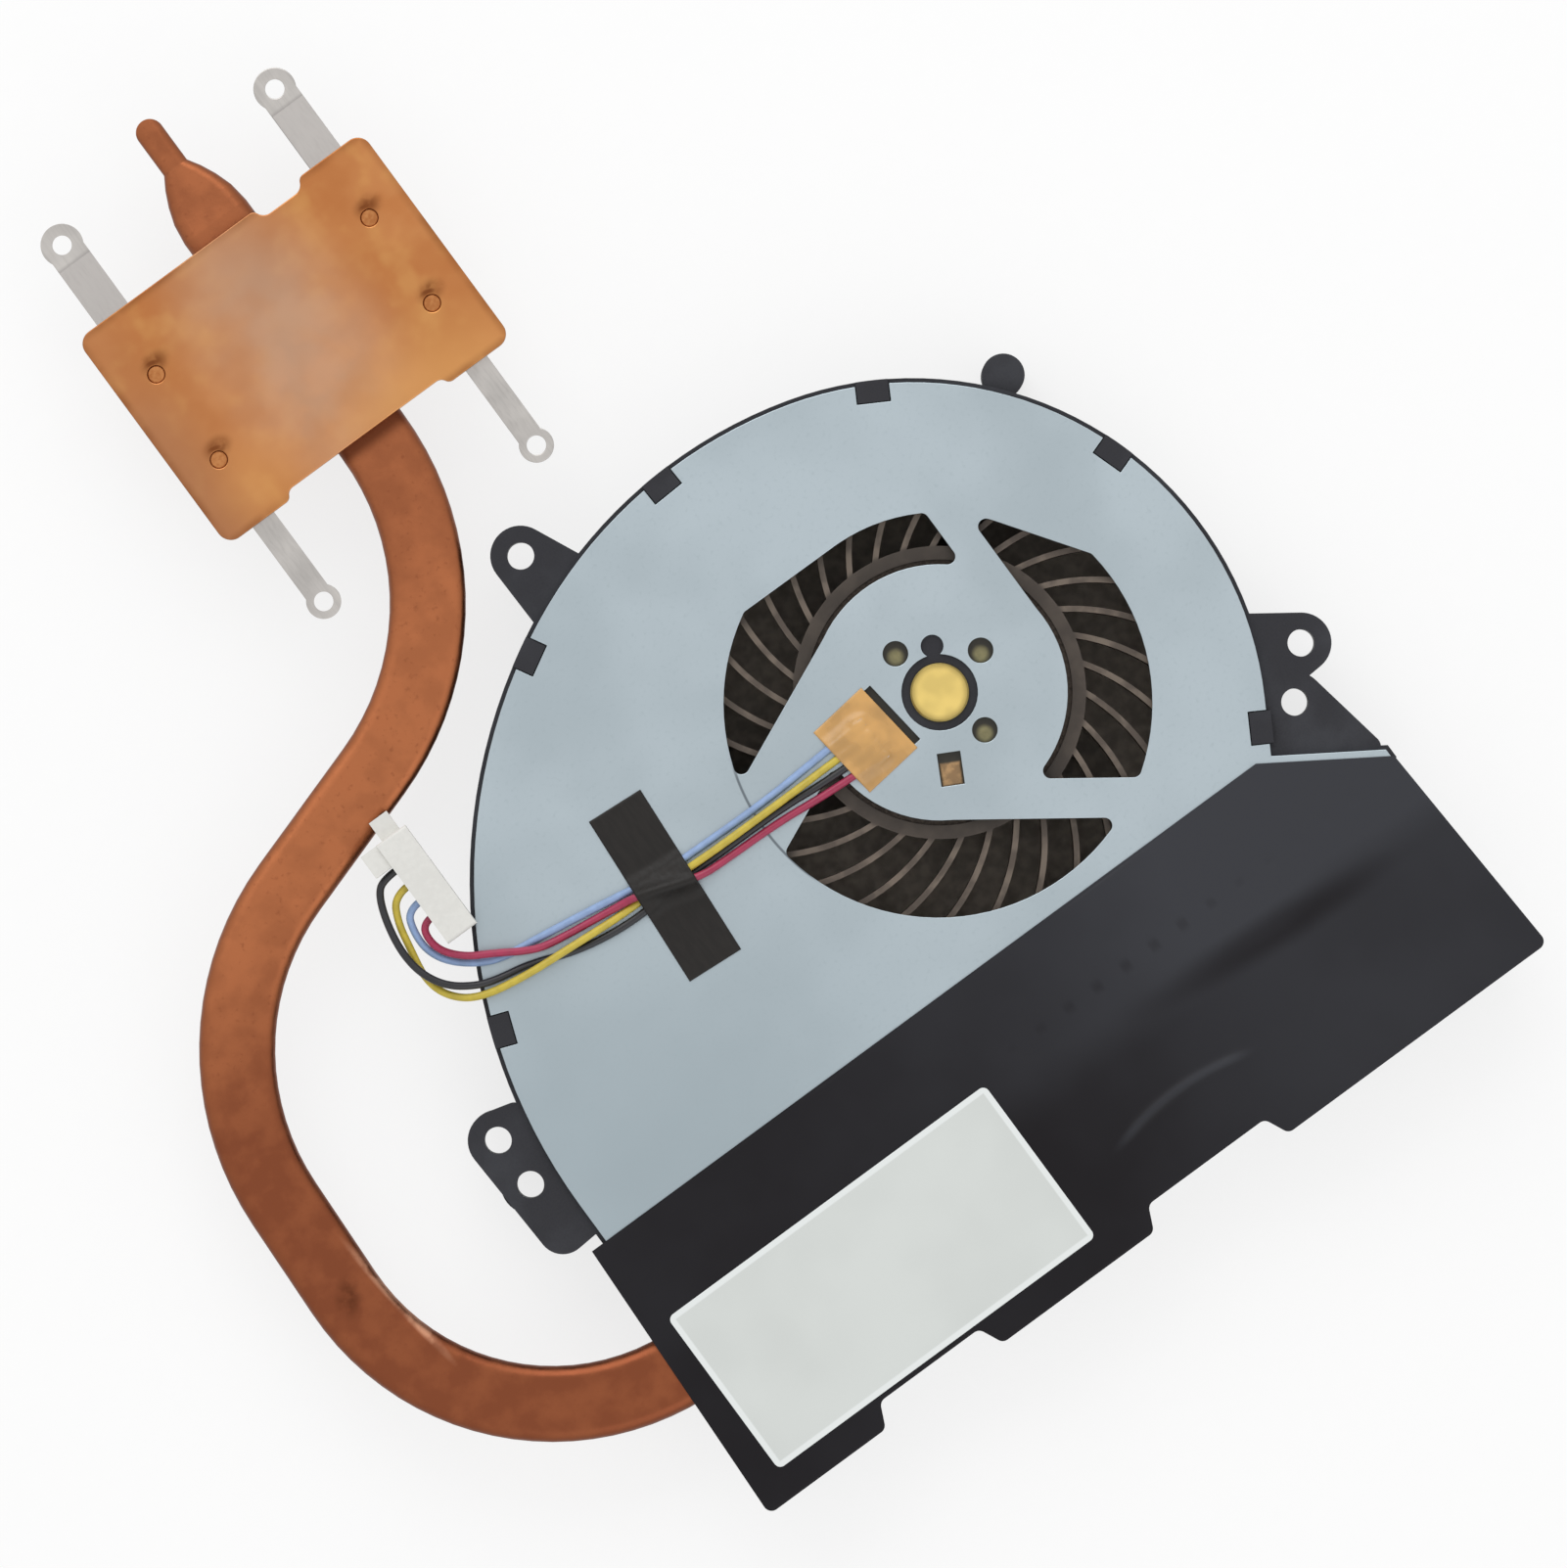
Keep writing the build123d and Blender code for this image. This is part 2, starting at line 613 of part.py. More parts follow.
def heat_pipe():
    """Flattened copper pipe: bends round the fan from the fins to the plate, then a crimped tail."""
    end_y = PLATE_BACK + PIPE_PAST_PLATE
    corners = [
        (DUCT_RIGHT - PIPE_END_SHORT, PIPE_Y, PIPE_Z),
        (PIPE_LEFT, PIPE_Y, PIPE_Z),
        (*PIPE_SHOULDER, PIPE_Z),
        (PIPE_PLATE_X, PIPE_TURN_Y, PIPE_Z),
        (PIPE_PLATE_X, end_y, PIPE_Z),
    ]
    path = FilletPolyline(*corners, radius=PIPE_BENDS)
    start = Plane(origin=corners[0], x_dir=(0, 1, 0), z_dir=(-1, 0, 0))
    pipe = sweep(start * SlotOverall(PIPE_WIDTH, PIPE_THICK), path=path)
    neck_run, neck_width = TAIL_STEPS[-1]
    faces = []
    for run, width in ((0.0, PIPE_WIDTH), *TAIL_STEPS):
        thick = PIPE_THICK + (TAIL_THICK - PIPE_THICK) * run / neck_run
        place = Plane(origin=(PIPE_PLATE_X, end_y + run, PIPE_Z), x_dir=(1, 0, 0), z_dir=(0, 1, 0))
        faces.append(place * SlotOverall(width, thick))
    round_end = Pos(PIPE_PLATE_X, end_y + neck_run) * Rot(0, 0, 90) * SlotOverall(2 * TAIL_TIP, neck_width)
    tip = extrude(faces[-1], TAIL_TIP) & extrude(round_end, 2 * FAN_HEIGHT)
    return pipe + loft(faces, ruled=True) + tip


def spring_x(side):
    return PLATE_X + side * SPRING_PITCH / 2


def rivet_places():
    return [(spring_x(side), PLATE_Y + end * RIVET_PITCH / 2) for side in (-1, 1) for end in (-1, 1)]


def cold_plate():
    """Copper plate with shallow dips in its edges between the corners that carry the springs."""
    plan = RectangleRounded(PLATE_WIDTH, PLATE_LENGTH, PLATE_CORNER)
    dip = PLATE_WIDTH - 2 * PLATE_EAR
    low_dip = SlotOverall(dip, 2 * LOW_DIP)
    plan -= Pos(0, -PLATE_LENGTH / 2) * low_dip
    right_end = dip / 2
    left_end = PIPE_OFF_CENTRE + PIPE_WIDTH / 2
    high_dip = SlotOverall(right_end - left_end, 2 * HIGH_DIP)
    plan -= Pos((right_end + left_end) / 2, PLATE_LENGTH / 2) * high_dip
    plan = offset(offset(plan, -DIP_ROUND), DIP_ROUND)
    plate = Pos(PLATE_X, PLATE_Y, FAN_HEIGHT) * extrude(plan, PLATE_SHEET)
    return plate - [Pos(x, y, FAN_HEIGHT) * extrude(Circle(RIVET_R + FIT), PLATE_SHEET)
                    for x, y in rivet_places()]


def spring_strip(side):
    """Leaf spring: flat under the plate, arms that slope away from it, an eye at each end."""
    eye_low = PLATE_Y - SPRING_OFF_CENTRE - SPRING_SPAN / 2
    eye_high = eye_low + SPRING_SPAN
    plate_low = PLATE_Y - PLATE_LENGTH / 2 + PLATE_CORNER
    plate_high = PLATE_BACK - PLATE_CORNER
    tip = UPPER_EYE_R + LOWER_EYE_R
    top = [
        (eye_low - tip, -SPRING_DROP),
        (eye_low + LOWER_EYE_R, -SPRING_DROP),
        (plate_low, 0.0),
        (plate_high, 0.0),
        (eye_high - UPPER_EYE_R, -SPRING_DROP),
        (eye_high + tip, -SPRING_DROP),
    ]
    band = film(top, -SPRING_SHEET)
    band = Pos(-UPPER_EYE_R, 0, 0) * extrude(band, 2 * UPPER_EYE_R)
    plan = Pos(0, eye_high) * Circle(UPPER_EYE_R) + Pos(0, eye_low) * Circle(LOWER_EYE_R)
    plan += Pos(0, PLATE_Y) * Rectangle(UPPER_ARM, eye_high - PLATE_Y, align=(Align.CENTER, Align.MIN))
    plan += Pos(0, PLATE_Y) * Rectangle(UPPER_ARM, PLATE_LENGTH - 2 * PLATE_CORNER)
    plan += Pos(0, eye_low) * Rectangle(LOWER_ARM, PLATE_Y - eye_low, align=(Align.CENTER, Align.MIN))
    plan -= [Pos(0, y) * Circle(EYE_HOLE_R) for y in (eye_low, eye_high)]
    plan -= [Pos(0, y) * Circle(RIVET_R + FIT) for x, y in rivet_places()[:2]]
    depth = SPRING_SHEET + SPRING_DROP
    strip = band & (Pos(0, 0, -2 * depth) * extrude(plan, 3 * depth))
    return Pos(spring_x(side), 0, FAN_HEIGHT) * strip


def spring_rivets():
    """Rivets from under the strips up to just below the plate's face."""
    low = FAN_HEIGHT - SPRING_SHEET
    shank = extrude(Circle(RIVET_R), SPRING_SHEET + PLATE_SHEET - RIVET_SUNK)
    head = Pos(0, 0, -RIVET_HEAD) * extrude(Circle(RIVET_HEAD_R), RIVET_HEAD)
    return Compound(children=[Pos(x, y, low) * (shank + head) for x, y in rivet_places()])


def film(points, thickness):
    """A thin folded section in the YZ plane, its thickness measured upwards."""
    raised = [(y, z + thickness) for y, z in reversed(points)]
    return Plane.YZ * make_face(Polyline(*points, *raised, close=True))


def shroud_tape():
    """Black film over the cover's edge and the fins, with side skirts and three end flaps."""
    start, tongue = tongue_points()
    angle = math.degrees(math.atan2(DUCT_CORNER[1] - tongue[1], DUCT_CORNER[0] - tongue[0]))
    edge = polar(TAPE_REVEAL, angle - 90, tongue)
    slope = math.tan(math.radians(angle))
    left, right = FIN_LEFT - TAPE_SIDE, DUCT_RIGHT + TAPE_SIDE
    low = FIN_BACK - TAPE_FLAP
    corner = (edge[0] + (TAPE_TOP_Y - edge[1]) / slope, TAPE_TOP_Y)
    side = (right, edge[1] + (right - edge[0]) * slope)
    points = [(left, TAPE_TOP_Y), corner, side, (right + TAPE_FLARE, low)]
    for start_x, end_x in reversed(FLAP_RECESSES):
        points += [(end_x + FLAP_SLOPE, low), (end_x, FIN_BACK)]
        points += [(start_x, FIN_BACK), (start_x - FLAP_SLOPE, low)]
    points.append((left - TAPE_FLARE, low))
    plan = make_face(Polyline(*points, close=True))
    flap_corners = [vertex for vertex in plan.vertices() if vertex.Y < FIN_BACK + TAPE]
    sheet = extrude(fillet(flap_corners, FLAP_CORNER), TAPE)
    clear = PIPE_WIDTH / 2 + TAPE_SIDE
    spans = [(-1, FIN_FRONT - TAPE_SIDE, PIPE_Y + clear), (-1, PIPE_Y - clear, FIN_BACK),
             (1, FIN_FRONT - TAPE_SIDE, FIN_BACK)]
    skirts = []
    for hand, high_y, low_y in spans:
        base = left if hand < 0 else right
        top_y = TAPE_TOP_Y if hand < 0 else side[1]
        lean = TAPE_FLARE / (top_y - low)
        high_x = base + hand * lean * (top_y - high_y)
        low_x = base + hand * lean * (top_y - low_y)
        inner = -hand * TAPE
        skirt = Polyline((high_x, high_y), (low_x, low_y), (low_x + inner, low_y), (high_x + inner, high_y),
                         close=True)
        skirts.append(Pos(0, 0, -TAPE_SKIRT) * extrude(make_face(skirt), TAPE_SKIRT + TAPE))
    return Pos(0, 0, FAN_HEIGHT) * (sheet + skirts)


def blank_label():
    return Pos(*LABEL_AT, FAN_HEIGHT + TAPE) * extrude(RectangleRounded(*LABEL_SIZE, LABEL_CORNER), LABEL)


def wire_tape():
    """Black strip across the wires: flat on the cover at both ends, humped over the wires."""
    width, length = STRIP_SIZE
    low, high = STRIP_HUMP
    points = [(-length / 2, 0.0), (low - STRIP_SLOPE, 0.0), (low, STRIP_RISE), (high, STRIP_RISE),
              (high + STRIP_SLOPE, 0.0), (length / 2, 0.0)]
    strip = Pos(-width / 2, 0, 0) * extrude(film(points, TAPE), width)
    return Pos(*STRIP_AT, FAN_HEIGHT) * Rot(0, 0, STRIP_TURN) * strip


def solder_tape():
    """Amber film over the solder joints, stuck to the cover along two sides."""
    width, length = PATCH_SIZE
    half = length / 2
    foot = half - PATCH_FOOT
    flat = foot - PATCH_SLOPE
    points = [(-half, 0.0), (-foot, 0.0), (-flat, PATCH_RISE), (flat, PATCH_RISE), (foot, 0.0), (half, 0.0)]
    patch = Pos(-width / 2, 0, 0) * extrude(film(points, TAPE), width)
    return Pos(*PATCH_AT, FAN_HEIGHT) * Rot(0, 0, PATCH_TURN) * patch


def bend_radii(points):
    """The largest arc that the two runs at each corner of a route allow."""
    radii = []
    for before, corner, after in zip(points, points[1:], points[2:]):
        run_in, run_out = Vector(corner) - Vector(before), Vector(after) - Vector(corner)
        half_turn = math.radians(run_in.get_angle(run_out)) / 2
        radii.append(BEND_SHARE * min(run_in.length, run_out.length) / math.tan(half_turn))
    return radii


def fan_wire(name):
    """One insulated wire: a tube along its route, with few sides and the area of a round wire."""
    points = [(x, y, FAN_HEIGHT + height) for x, y, height in WIRE_ROUTES[name]]
    radii = bend_radii(points)
    path = FilletPolyline(*points, radius=radii)
    area = math.pi * WIRE_R**2
    corner = math.sqrt(2 * area / (WIRE_SIDES * math.sin(2 * math.pi / WIRE_SIDES)))
    section = RegularPolygon(corner, WIRE_SIDES)
    tube = sweep(Plane(origin=path @ 0, z_dir=path % 0) * section, path=path)
    expected = area * path.length
    print(name, "radii", [round(radius, 1) for radius in radii], "length", round(path.length, 1),
          "volume share", round(tube.volume / expected, 4))
    return tube


def pin_places():
    """Where each wire ends in the connector."""
    return [route[-1] for route in WIRE_ROUTES.values()]


def connector_middle():
    rows = [y for x, y, height in pin_places()]
    return (min(rows) + max(rows)) / 2


def connector_housing():
    """Nylon housing with a cavity for each contact, an ear on the wires' side and a key at one end."""
    across, long, high = CONNECTOR_SIZE
    corner_align = (Align.MIN, Align.CENTER, Align.MIN)
    body = Box(across, long, high, align=corner_align)
    body = fillet(body.edges().filter_by(Axis.X), CONNECTOR_EDGE)
    key = Pos((across - KEY_SIZE[0]) / 2, long / 2, 0) * Box(*KEY_SIZE, align=Align.MIN)
    ear = Pos(0, long / 2, 0) * Box(*EAR_SIZE, high - CONNECTOR_EDGE, align=(Align.MAX, Align.MAX, Align.MIN))
    body = Pos(CONNECTOR_LEFT, connector_middle(), FAN_HEIGHT) * (body + key + ear)
    cavity = Box(2 * across, CAVITY, CAVITY)
    return body - [Pos(CONNECTOR_LEFT, y, FAN_HEIGHT + height) * Pos(across / 2, 0, 0) * cavity
                   for x, y, height in pin_places()]


def connector_terminals():
    """A crimped contact ahead of each wire's end."""
    block = Box(*TERMINAL_SIZE, align=(Align.MIN, Align.CENTER, Align.CENTER))
    return Compound(children=[Pos(x + FIT, y, FAN_HEIGHT + height) * block for x, y, height in pin_places()])


def save(node, shape):
    export_step(shape, os.path.join("parts", node + ".step"))


os.makedirs("parts", exist_ok=True)
for piece in (
    housing_floor, fan_housing, fan_cover, motor_base, motor_board, bearing_tube, bearing_sleeve,
    thrust_washer, stator_core, stator_coils, solder_joints, rotor_shaft, rotor_yoke, ring_magnet, impeller,
    fin_stack, heat_pipe, cold_plate, spring_rivets, shroud_tape, blank_label, wire_tape, solder_tape,
    connector_housing, connector_terminals,
):
    save(piece.__name__, piece())
save("spring_strip_left", spring_strip(-1))
save("spring_strip_right", spring_strip(1))
for wire in WIRE_ROUTES:
    save(wire, fan_wire(wire))
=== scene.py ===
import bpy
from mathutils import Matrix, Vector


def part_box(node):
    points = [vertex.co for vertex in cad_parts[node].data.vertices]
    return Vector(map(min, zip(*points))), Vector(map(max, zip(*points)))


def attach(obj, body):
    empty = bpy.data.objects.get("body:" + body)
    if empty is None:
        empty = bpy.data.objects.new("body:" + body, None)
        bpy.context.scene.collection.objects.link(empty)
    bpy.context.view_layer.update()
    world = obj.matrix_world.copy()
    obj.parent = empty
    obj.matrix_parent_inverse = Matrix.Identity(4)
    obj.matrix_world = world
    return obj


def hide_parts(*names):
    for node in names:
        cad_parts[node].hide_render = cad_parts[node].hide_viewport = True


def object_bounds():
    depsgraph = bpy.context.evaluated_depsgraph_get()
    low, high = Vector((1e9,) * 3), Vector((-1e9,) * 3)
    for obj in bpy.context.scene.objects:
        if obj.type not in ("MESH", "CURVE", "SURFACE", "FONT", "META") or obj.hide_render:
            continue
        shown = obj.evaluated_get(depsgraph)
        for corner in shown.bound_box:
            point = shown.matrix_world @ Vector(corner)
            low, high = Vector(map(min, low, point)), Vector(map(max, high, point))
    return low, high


bl_info = {
    "name": "Laptop Cooling Fan",
    "version": (1, 0, 0),
    "blender": (4, 5, 0),
    "location": "View3D > Sidebar > Cooling Fan",
    "description": "Dresses the packed blower fan, heat pipe, fins and cold plate, and sets a plain stage",
    "category": "Object",
}

import math
from typing import NamedTuple

import bmesh
import bpy
import numpy as np
from bpy.props import FloatProperty, FloatVectorProperty, PointerProperty
from mathutils import Matrix, Vector
from mathutils.bvhtree import BVHTree
from mathutils.geometry import delaunay_2d_cdt

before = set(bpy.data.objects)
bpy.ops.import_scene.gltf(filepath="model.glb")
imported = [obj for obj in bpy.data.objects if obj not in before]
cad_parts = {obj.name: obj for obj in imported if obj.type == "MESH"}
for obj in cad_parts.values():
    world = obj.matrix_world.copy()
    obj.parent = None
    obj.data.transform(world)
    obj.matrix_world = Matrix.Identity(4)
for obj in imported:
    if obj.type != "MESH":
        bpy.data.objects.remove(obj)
cad_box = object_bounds()

COVER_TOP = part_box("fan_cover")[1].z

# Routes of the wires, as in the part's source: x, y and height above the cover, in metres
WIRE_ROUTES = {
    "red": (
        (-0.0094, -0.00180, 0.00045),
        (-0.0150, -0.00160, 0.00045),
        (-0.0210, -0.00095, 0.00045),
        (-0.0280, -0.00085, 0.00050),
        (-0.0310, -0.00070, 0.00150),
        (-0.0370, 0.00150, 0.00150),
        (-0.0396, 0.00185, 0.00050),
        (-0.0465, 0.00270, 0.00050),
        (-0.0490, 0.00330, 0.00140),
        (-0.0526, 0.00560, 0.00140),
        (-0.0550, 0.00690, 0.00140),
        (-0.0568, 0.00900, 0.00150),
        (-0.0570, 0.01120, 0.00150),
        (-0.0562, 0.01220, 0.00150),
        (-0.0552, 0.01220, 0.00150),
    ),
    "blue": (
        (-0.0094, 0.00220, 0.00045),
        (-0.0150, 0.00190, 0.00045),
        (-0.0210, 0.00155, 0.00045),
        (-0.0310, 0.00175, 0.00045),
        (-0.0350, 0.00195, 0.00045),
        (-0.0400, 0.00285, 0.00045),
        (-0.0482, 0.00410, 0.00045),
        (-0.0515, 0.00445, 0.00045),
        (-0.0541, 0.00540, 0.00050),
        (-0.0566, 0.00740, 0.00060),
        (-0.0578, 0.00960, 0.00060),
        (-0.0578, 0.01200, 0.00100),
        (-0.0570, 0.01420, 0.00150),
        (-0.0552, 0.01420, 0.00150),
    ),
    "black": (
        (-0.0094, -0.00060, 0.00045),
        (-0.0150, -0.00050, 0.00045),
        (-0.0200, 0.00005, 0.00045),
        (-0.0310, 0.00005, 0.00045),
        (-0.0350, -0.00015, 0.00045),
        (-0.0400, -0.00030, 0.00045),
        (-0.0455, 0.00060, 0.00045),
        (-0.0500, 0.00240, 0.00045),
        (-0.0537, 0.00310, 0.00060),
        (-0.0558, 0.00380, 0.00090),
        (-0.0583, 0.00560, 0.00150),
        (-0.0597, 0.00820, 0.00160),
        (-0.0600, 0.01120, 0.00160),
        (-0.0594, 0.01460, 0.00155),
        (-0.0584, 0.01720, 0.00150),
        (-0.0572, 0.01820, 0.00150),
        (-0.0552, 0.01820, 0.00150),
    ),
    "yellow": (
        (-0.0094, 0.00070, 0.00045),
        (-0.0135, 0.00068, 0.00045),
        (-0.0185, 0.00060, 0.00115),
        (-0.0270, 0.00060, 0.00120),
        (-0.0310, 0.00070, 0.00110),
        (-0.0350, 0.00090, 0.00047),
        (-0.0400, 0.00090, 0.00050),
        (-0.0455, 0.00130, 0.00140),
        (-0.0515, 0.00170, 0.00140),
        (-0.0566, 0.00270, 0.00070),
        (-0.0590, 0.00490, 0.00060),
        (-0.0597, 0.00760, 0.00060),
        (-0.0591, 0.01080, 0.00070),
        (-0.0585, 0.01380, 0.00110),
        (-0.0572, 0.01620, 0.00150),
        (-0.0552, 0.01620, 0.00150),
    ),
}


class Mark(NamedTuple):
    """A soft oval on a surface, seen from above: full in its middle and gone at its radii, in metres."""

    centre: tuple
    radii: tuple
    turn: float = 0.0
    soft: float = 0.9


class Laid(NamedTuple):
    """Where a film lies over the wires: its middle, its width and length, and its turn."""

    centre: tuple
    size: tuple
    turn: float


class Grain(NamedTuple):
    """A plain finish of two shades: the size of its grain, its range of roughness and its relief."""

    name: str
    light: tuple
    dark: tuple
    size: float
    roughness: tuple
    relief: float
    metallic: float = 1.0


def srgb(red, green, blue):
    """Linear colour with full alpha, from 8-bit screen values."""
    shades = [value / 255 for value in (red, green, blue)]
    linear = [s / 12.92 if s <= 0.04045 else ((s + 0.055) / 1.055) ** 2.4 for s in shades]
    return (*linear, 1.0)


def shade(colour, factor):
    """A colour made darker or lighter by a factor."""
    return (*(min(1.0, part * factor) for part in colour[:3]), 1.0)


def polar(radius, degrees):
    """The point at a radius and an angle from the fan's axis, in plan."""
    angle = math.radians(degrees)
    return (radius * math.cos(angle), radius * math.sin(angle))


# Inlet and hub of the cover, with the board's pads in the hub's holes: metres, and degrees round the axis
FAN_AXIS = (0.0, 0.0)
INLET_CENTRE = (-0.0008, -0.0008)
INLET_RADIUS = 0.0219
HUB_RADIUS = 0.0150
PORT_PLACES = ((0.0060, 9.5), (0.0060, 102.6), (0.0060, -76.0))
# Pads sit off the holes' middles, so the dark mask shows on one side of each hole as a painted shadow
# crescent
PORT_PAD_BESIDE_SHADOW = Mark((-0.0002, -0.0003), (0.0011, 0.0011), soft=0.6)
SLOT_RADIUS = 0.0079
SLOT_DEGREES = 242.0
# The slot's pad is moved outward, so the dark mask shows along the slot's inner side as painted shadow
SLOT_PAD_SHIFT_FROM_SHADOW = 0.0005
SLOT_PAD_HALVES = (0.0013, 0.00115)

# Marks on the cover, the brass end, the blades and the case's floor; the die line is in inlet radii
# Painted shade: the cover darker towards its lower left, where less light falls
COVER_PAINTED_SHADE = Mark((-0.0580, -0.0240), (0.0560, 0.0440))
DIE_LINE_SPOKE = Mark((-0.0217, -0.0008), (0.0060, 0.0082), soft=0.3)
DIE_LINE_EDGES = (0.009, 0.003)
TOOL_MARK_PHASE = 160.0
# Depth of the blades' top edges that are lighter, as painted highlight mixed with dust
BLADE_TOP_LIGHT_DEPTH = 0.0012
DUST_FADE = 0.0002

# Marks on the cold plate, from its middle, from the middle of its low side, or from each rivet
PLATE_SMEAR = Mark((-0.0005, -0.0020), (0.0125, 0.0250), math.radians(4.0), 0.85)
PLATE_BRIGHT = Mark((0.0090, 0.0), (0.0160, 0.0100))
PLATE_CORNER = Mark((-0.0115, 0.0030), (0.0070, 0.0070))
PLATE_DULL_START = -0.0100
PLATE_DULL_TOP = 0.0070
# Width of the painted shade along the plate's rounded edges
PLATE_RIM = 0.0010
RIVET_HEAD_RADIUS = 0.0016
RIVET_RING_RADIUS = 0.0014
# Painted shadow above each rivet: a ring on its shaded side and a smear that is partly oxide
RIVET_SHADOW = Mark((0.0004, 0.0014), (0.0016, 0.0013), soft=0.8)
RIVET_SMEAR_SHADE_OXIDE = Mark((0.0006, 0.0011), (0.0021, 0.0015))

# Marks on the heat pipe; it darkens between places along y
PIPE_STAIN = Mark((-0.0853, -0.0141), (0.0018, 0.0028), math.radians(-30.0))
# Painted highlight along the inner edge of the pipe's lower bend
PIPE_HIGHLIGHT = Mark((-0.0814, -0.0175), (0.0008, 0.0095), math.radians(6.0), 0.7)
PIPE_LOW_DARKENING = (0.026, 0.002)
PIPE_TAIL_DARKENING = (0.032, 0.048)
# Reach of the painted shadow and dark flux on the pipe at the plate's ends
SEAM_OUT = 0.0011
SEAM_IN = 0.0003
SEAM_END = 0.0002

# Painted shade on the sloping upper arms of the springs: the eye's edge from the tip, and the rest from
# the eye's edge
SPRING_EYE = 0.0045
ARM_LOW_END = 0.0090
ARM_FULL = 0.0060
ARM_TOP_FADE = 0.0006

# Dents, sunk band, crease and slack of the shroud film, and its dust and painted light and shade, in plan
DENT_SPACING = 0.0036
DENT_START = -0.0012
DENT_LINE = -0.0338
DENT_HALF = 0.0007
DENT_FADE = (-0.020, -0.014)
# Painted shade in the dents along the fin lips
DENT_SHADE = Mark((0.0030, DENT_LINE), (0.0240, 0.0011))
BAND_ENDS = ((-0.0055, -0.0383), (0.0310, -0.0412))
BAND_HALF = 0.0017
BAND_OVERRUN = 0.002
BAND_INSET = 0.004
CREASE_CENTRE = (-0.0046, -0.0743)
CREASE_RADIUS = 0.0272
CREASE_HALF = 0.0005
CREASE_ENDS = (69.0, 110.0)
CREASE_FADE = 9.0
# Painted highlight along the crease
CREASE_HIGHLIGHT = Mark((0.0, CREASE_RADIUS), (0.0100, 0.0040), soft=0.4)
SLACK_WAVES = ((0.0061, 0.0040, 0.0), (0.0037, -0.0052, 1.0))
# Painted light: the film lighter towards the right, where more light falls
RIGHT_PAINTED_LIGHT = (-0.020, 0.018)
COVER_SIDE_DUST_X = (-0.050, 0.010)
COVER_SIDE_DUST_Y = (-0.042, -0.036)
LABEL_CLEAR = 0.0015
LABEL_MARGIN = (0.0007, 0.0005)

# Films over the wires
WIRE_STRIP = Laid((-0.0343, 0.0007), (0.0062, 0.0193), math.radians(-4.0))
AMBER_PATCH = Laid((-0.0090, 0.00055), (0.0067, 0.0084), math.radians(7.0))
DRAPE_ROUNDS = 400
RAY_HEIGHT = 0.01
FILM_LIFT = 0.00001

# Limits for meshes and edges
WELD_DISTANCE = 0.000002
TOP_TOLERANCE = 0.00001
UPWARD = 0.9
SAME_POINT = 1e-8
FLOOR_CLEAR = 0.00002
PLATE_EDGE_RATIO = 2.5

# Ranges that noise and a sum of two noises usually keep to, and the size of clouds over that of grain
NOISE_RANGE = (0.3, 0.7)
NOISE_SUM_RANGE = (0.75, 1.25)
CLOUD_RATIO = 12

WHITE = (1.0, 1.0, 1.0, 1.0)
STEEL = srgb(150, 150, 152)

# Plain finishes of the pieces that hardly show
CASE_PLAIN = {
    "bearing_sleeve": Grain(
        "bronze", srgb(178, 132, 82), srgb(128, 88, 50), 0.0003, (0.35, 0.5), 0.00001
    ),
    "thrust_washer": Grain(
        "washer_nylon", srgb(220, 218, 210), srgb(196, 194, 186), 0.0004, (0.4, 0.55), 0.00001,
        metallic=0.0,
    ),
    "stator_core": Grain("core_steel", STEEL, shade(STEEL, 0.5), 0.0003, (0.4, 0.55), 0.00002),
    "stator_coils": Grain(
        "enamel_wire", srgb(186, 104, 52), srgb(120, 58, 26), 0.0003, (0.25, 0.4), 0.00004
    ),
    "solder_joints": Grain(
        "solder", srgb(204, 204, 202), srgb(150, 150, 150), 0.0004, (0.25, 0.45), 0.00006
    ),
}
ROTOR_PLAIN = {
    "rotor_shaft": Grain("shaft_steel", srgb(190, 190, 192), STEEL, 0.0003, (0.25, 0.4), 0.000004),
    "rotor_yoke": Grain("dark_steel", srgb(84, 76, 70), srgb(58, 52, 48), 0.0003, (0.4, 0.55), 0.000004),
    "ring_magnet": Grain(
        "ferrite", srgb(70, 70, 74), srgb(44, 44, 48), 0.0003, (0.5, 0.65), 0.00002, metallic=0.0
    ),
}
TIN = Grain("tin", srgb(196, 192, 184), srgb(140, 136, 128), 0.0003, (0.25, 0.4), 0.00001)


def colour_of(name, description, *screen):
    """A colour that can be set in the panel, from 8-bit screen values."""
    return FloatVectorProperty(
        name=name, description=description, default=srgb(*screen),
        size=4, min=0.0, max=1.0, subtype="COLOR"
    )


def length_of(name, description, value):
    """A length that can be set in the panel."""
    return FloatProperty(
        name=name, description=description, default=value, min=0.0, precision=6, unit="LENGTH"
    )


def place_of(name, description, value):
    """A place that can be set in the panel."""
    return FloatVectorProperty(
        name=name, description=description, default=value, size=3, subtype="TRANSLATION", unit="LENGTH"
    )


def power_of(name, description, watts):
    """A lamp's power that can be set in the panel."""
    return FloatProperty(name=name, description=description, default=watts, min=0.0, unit="POWER")


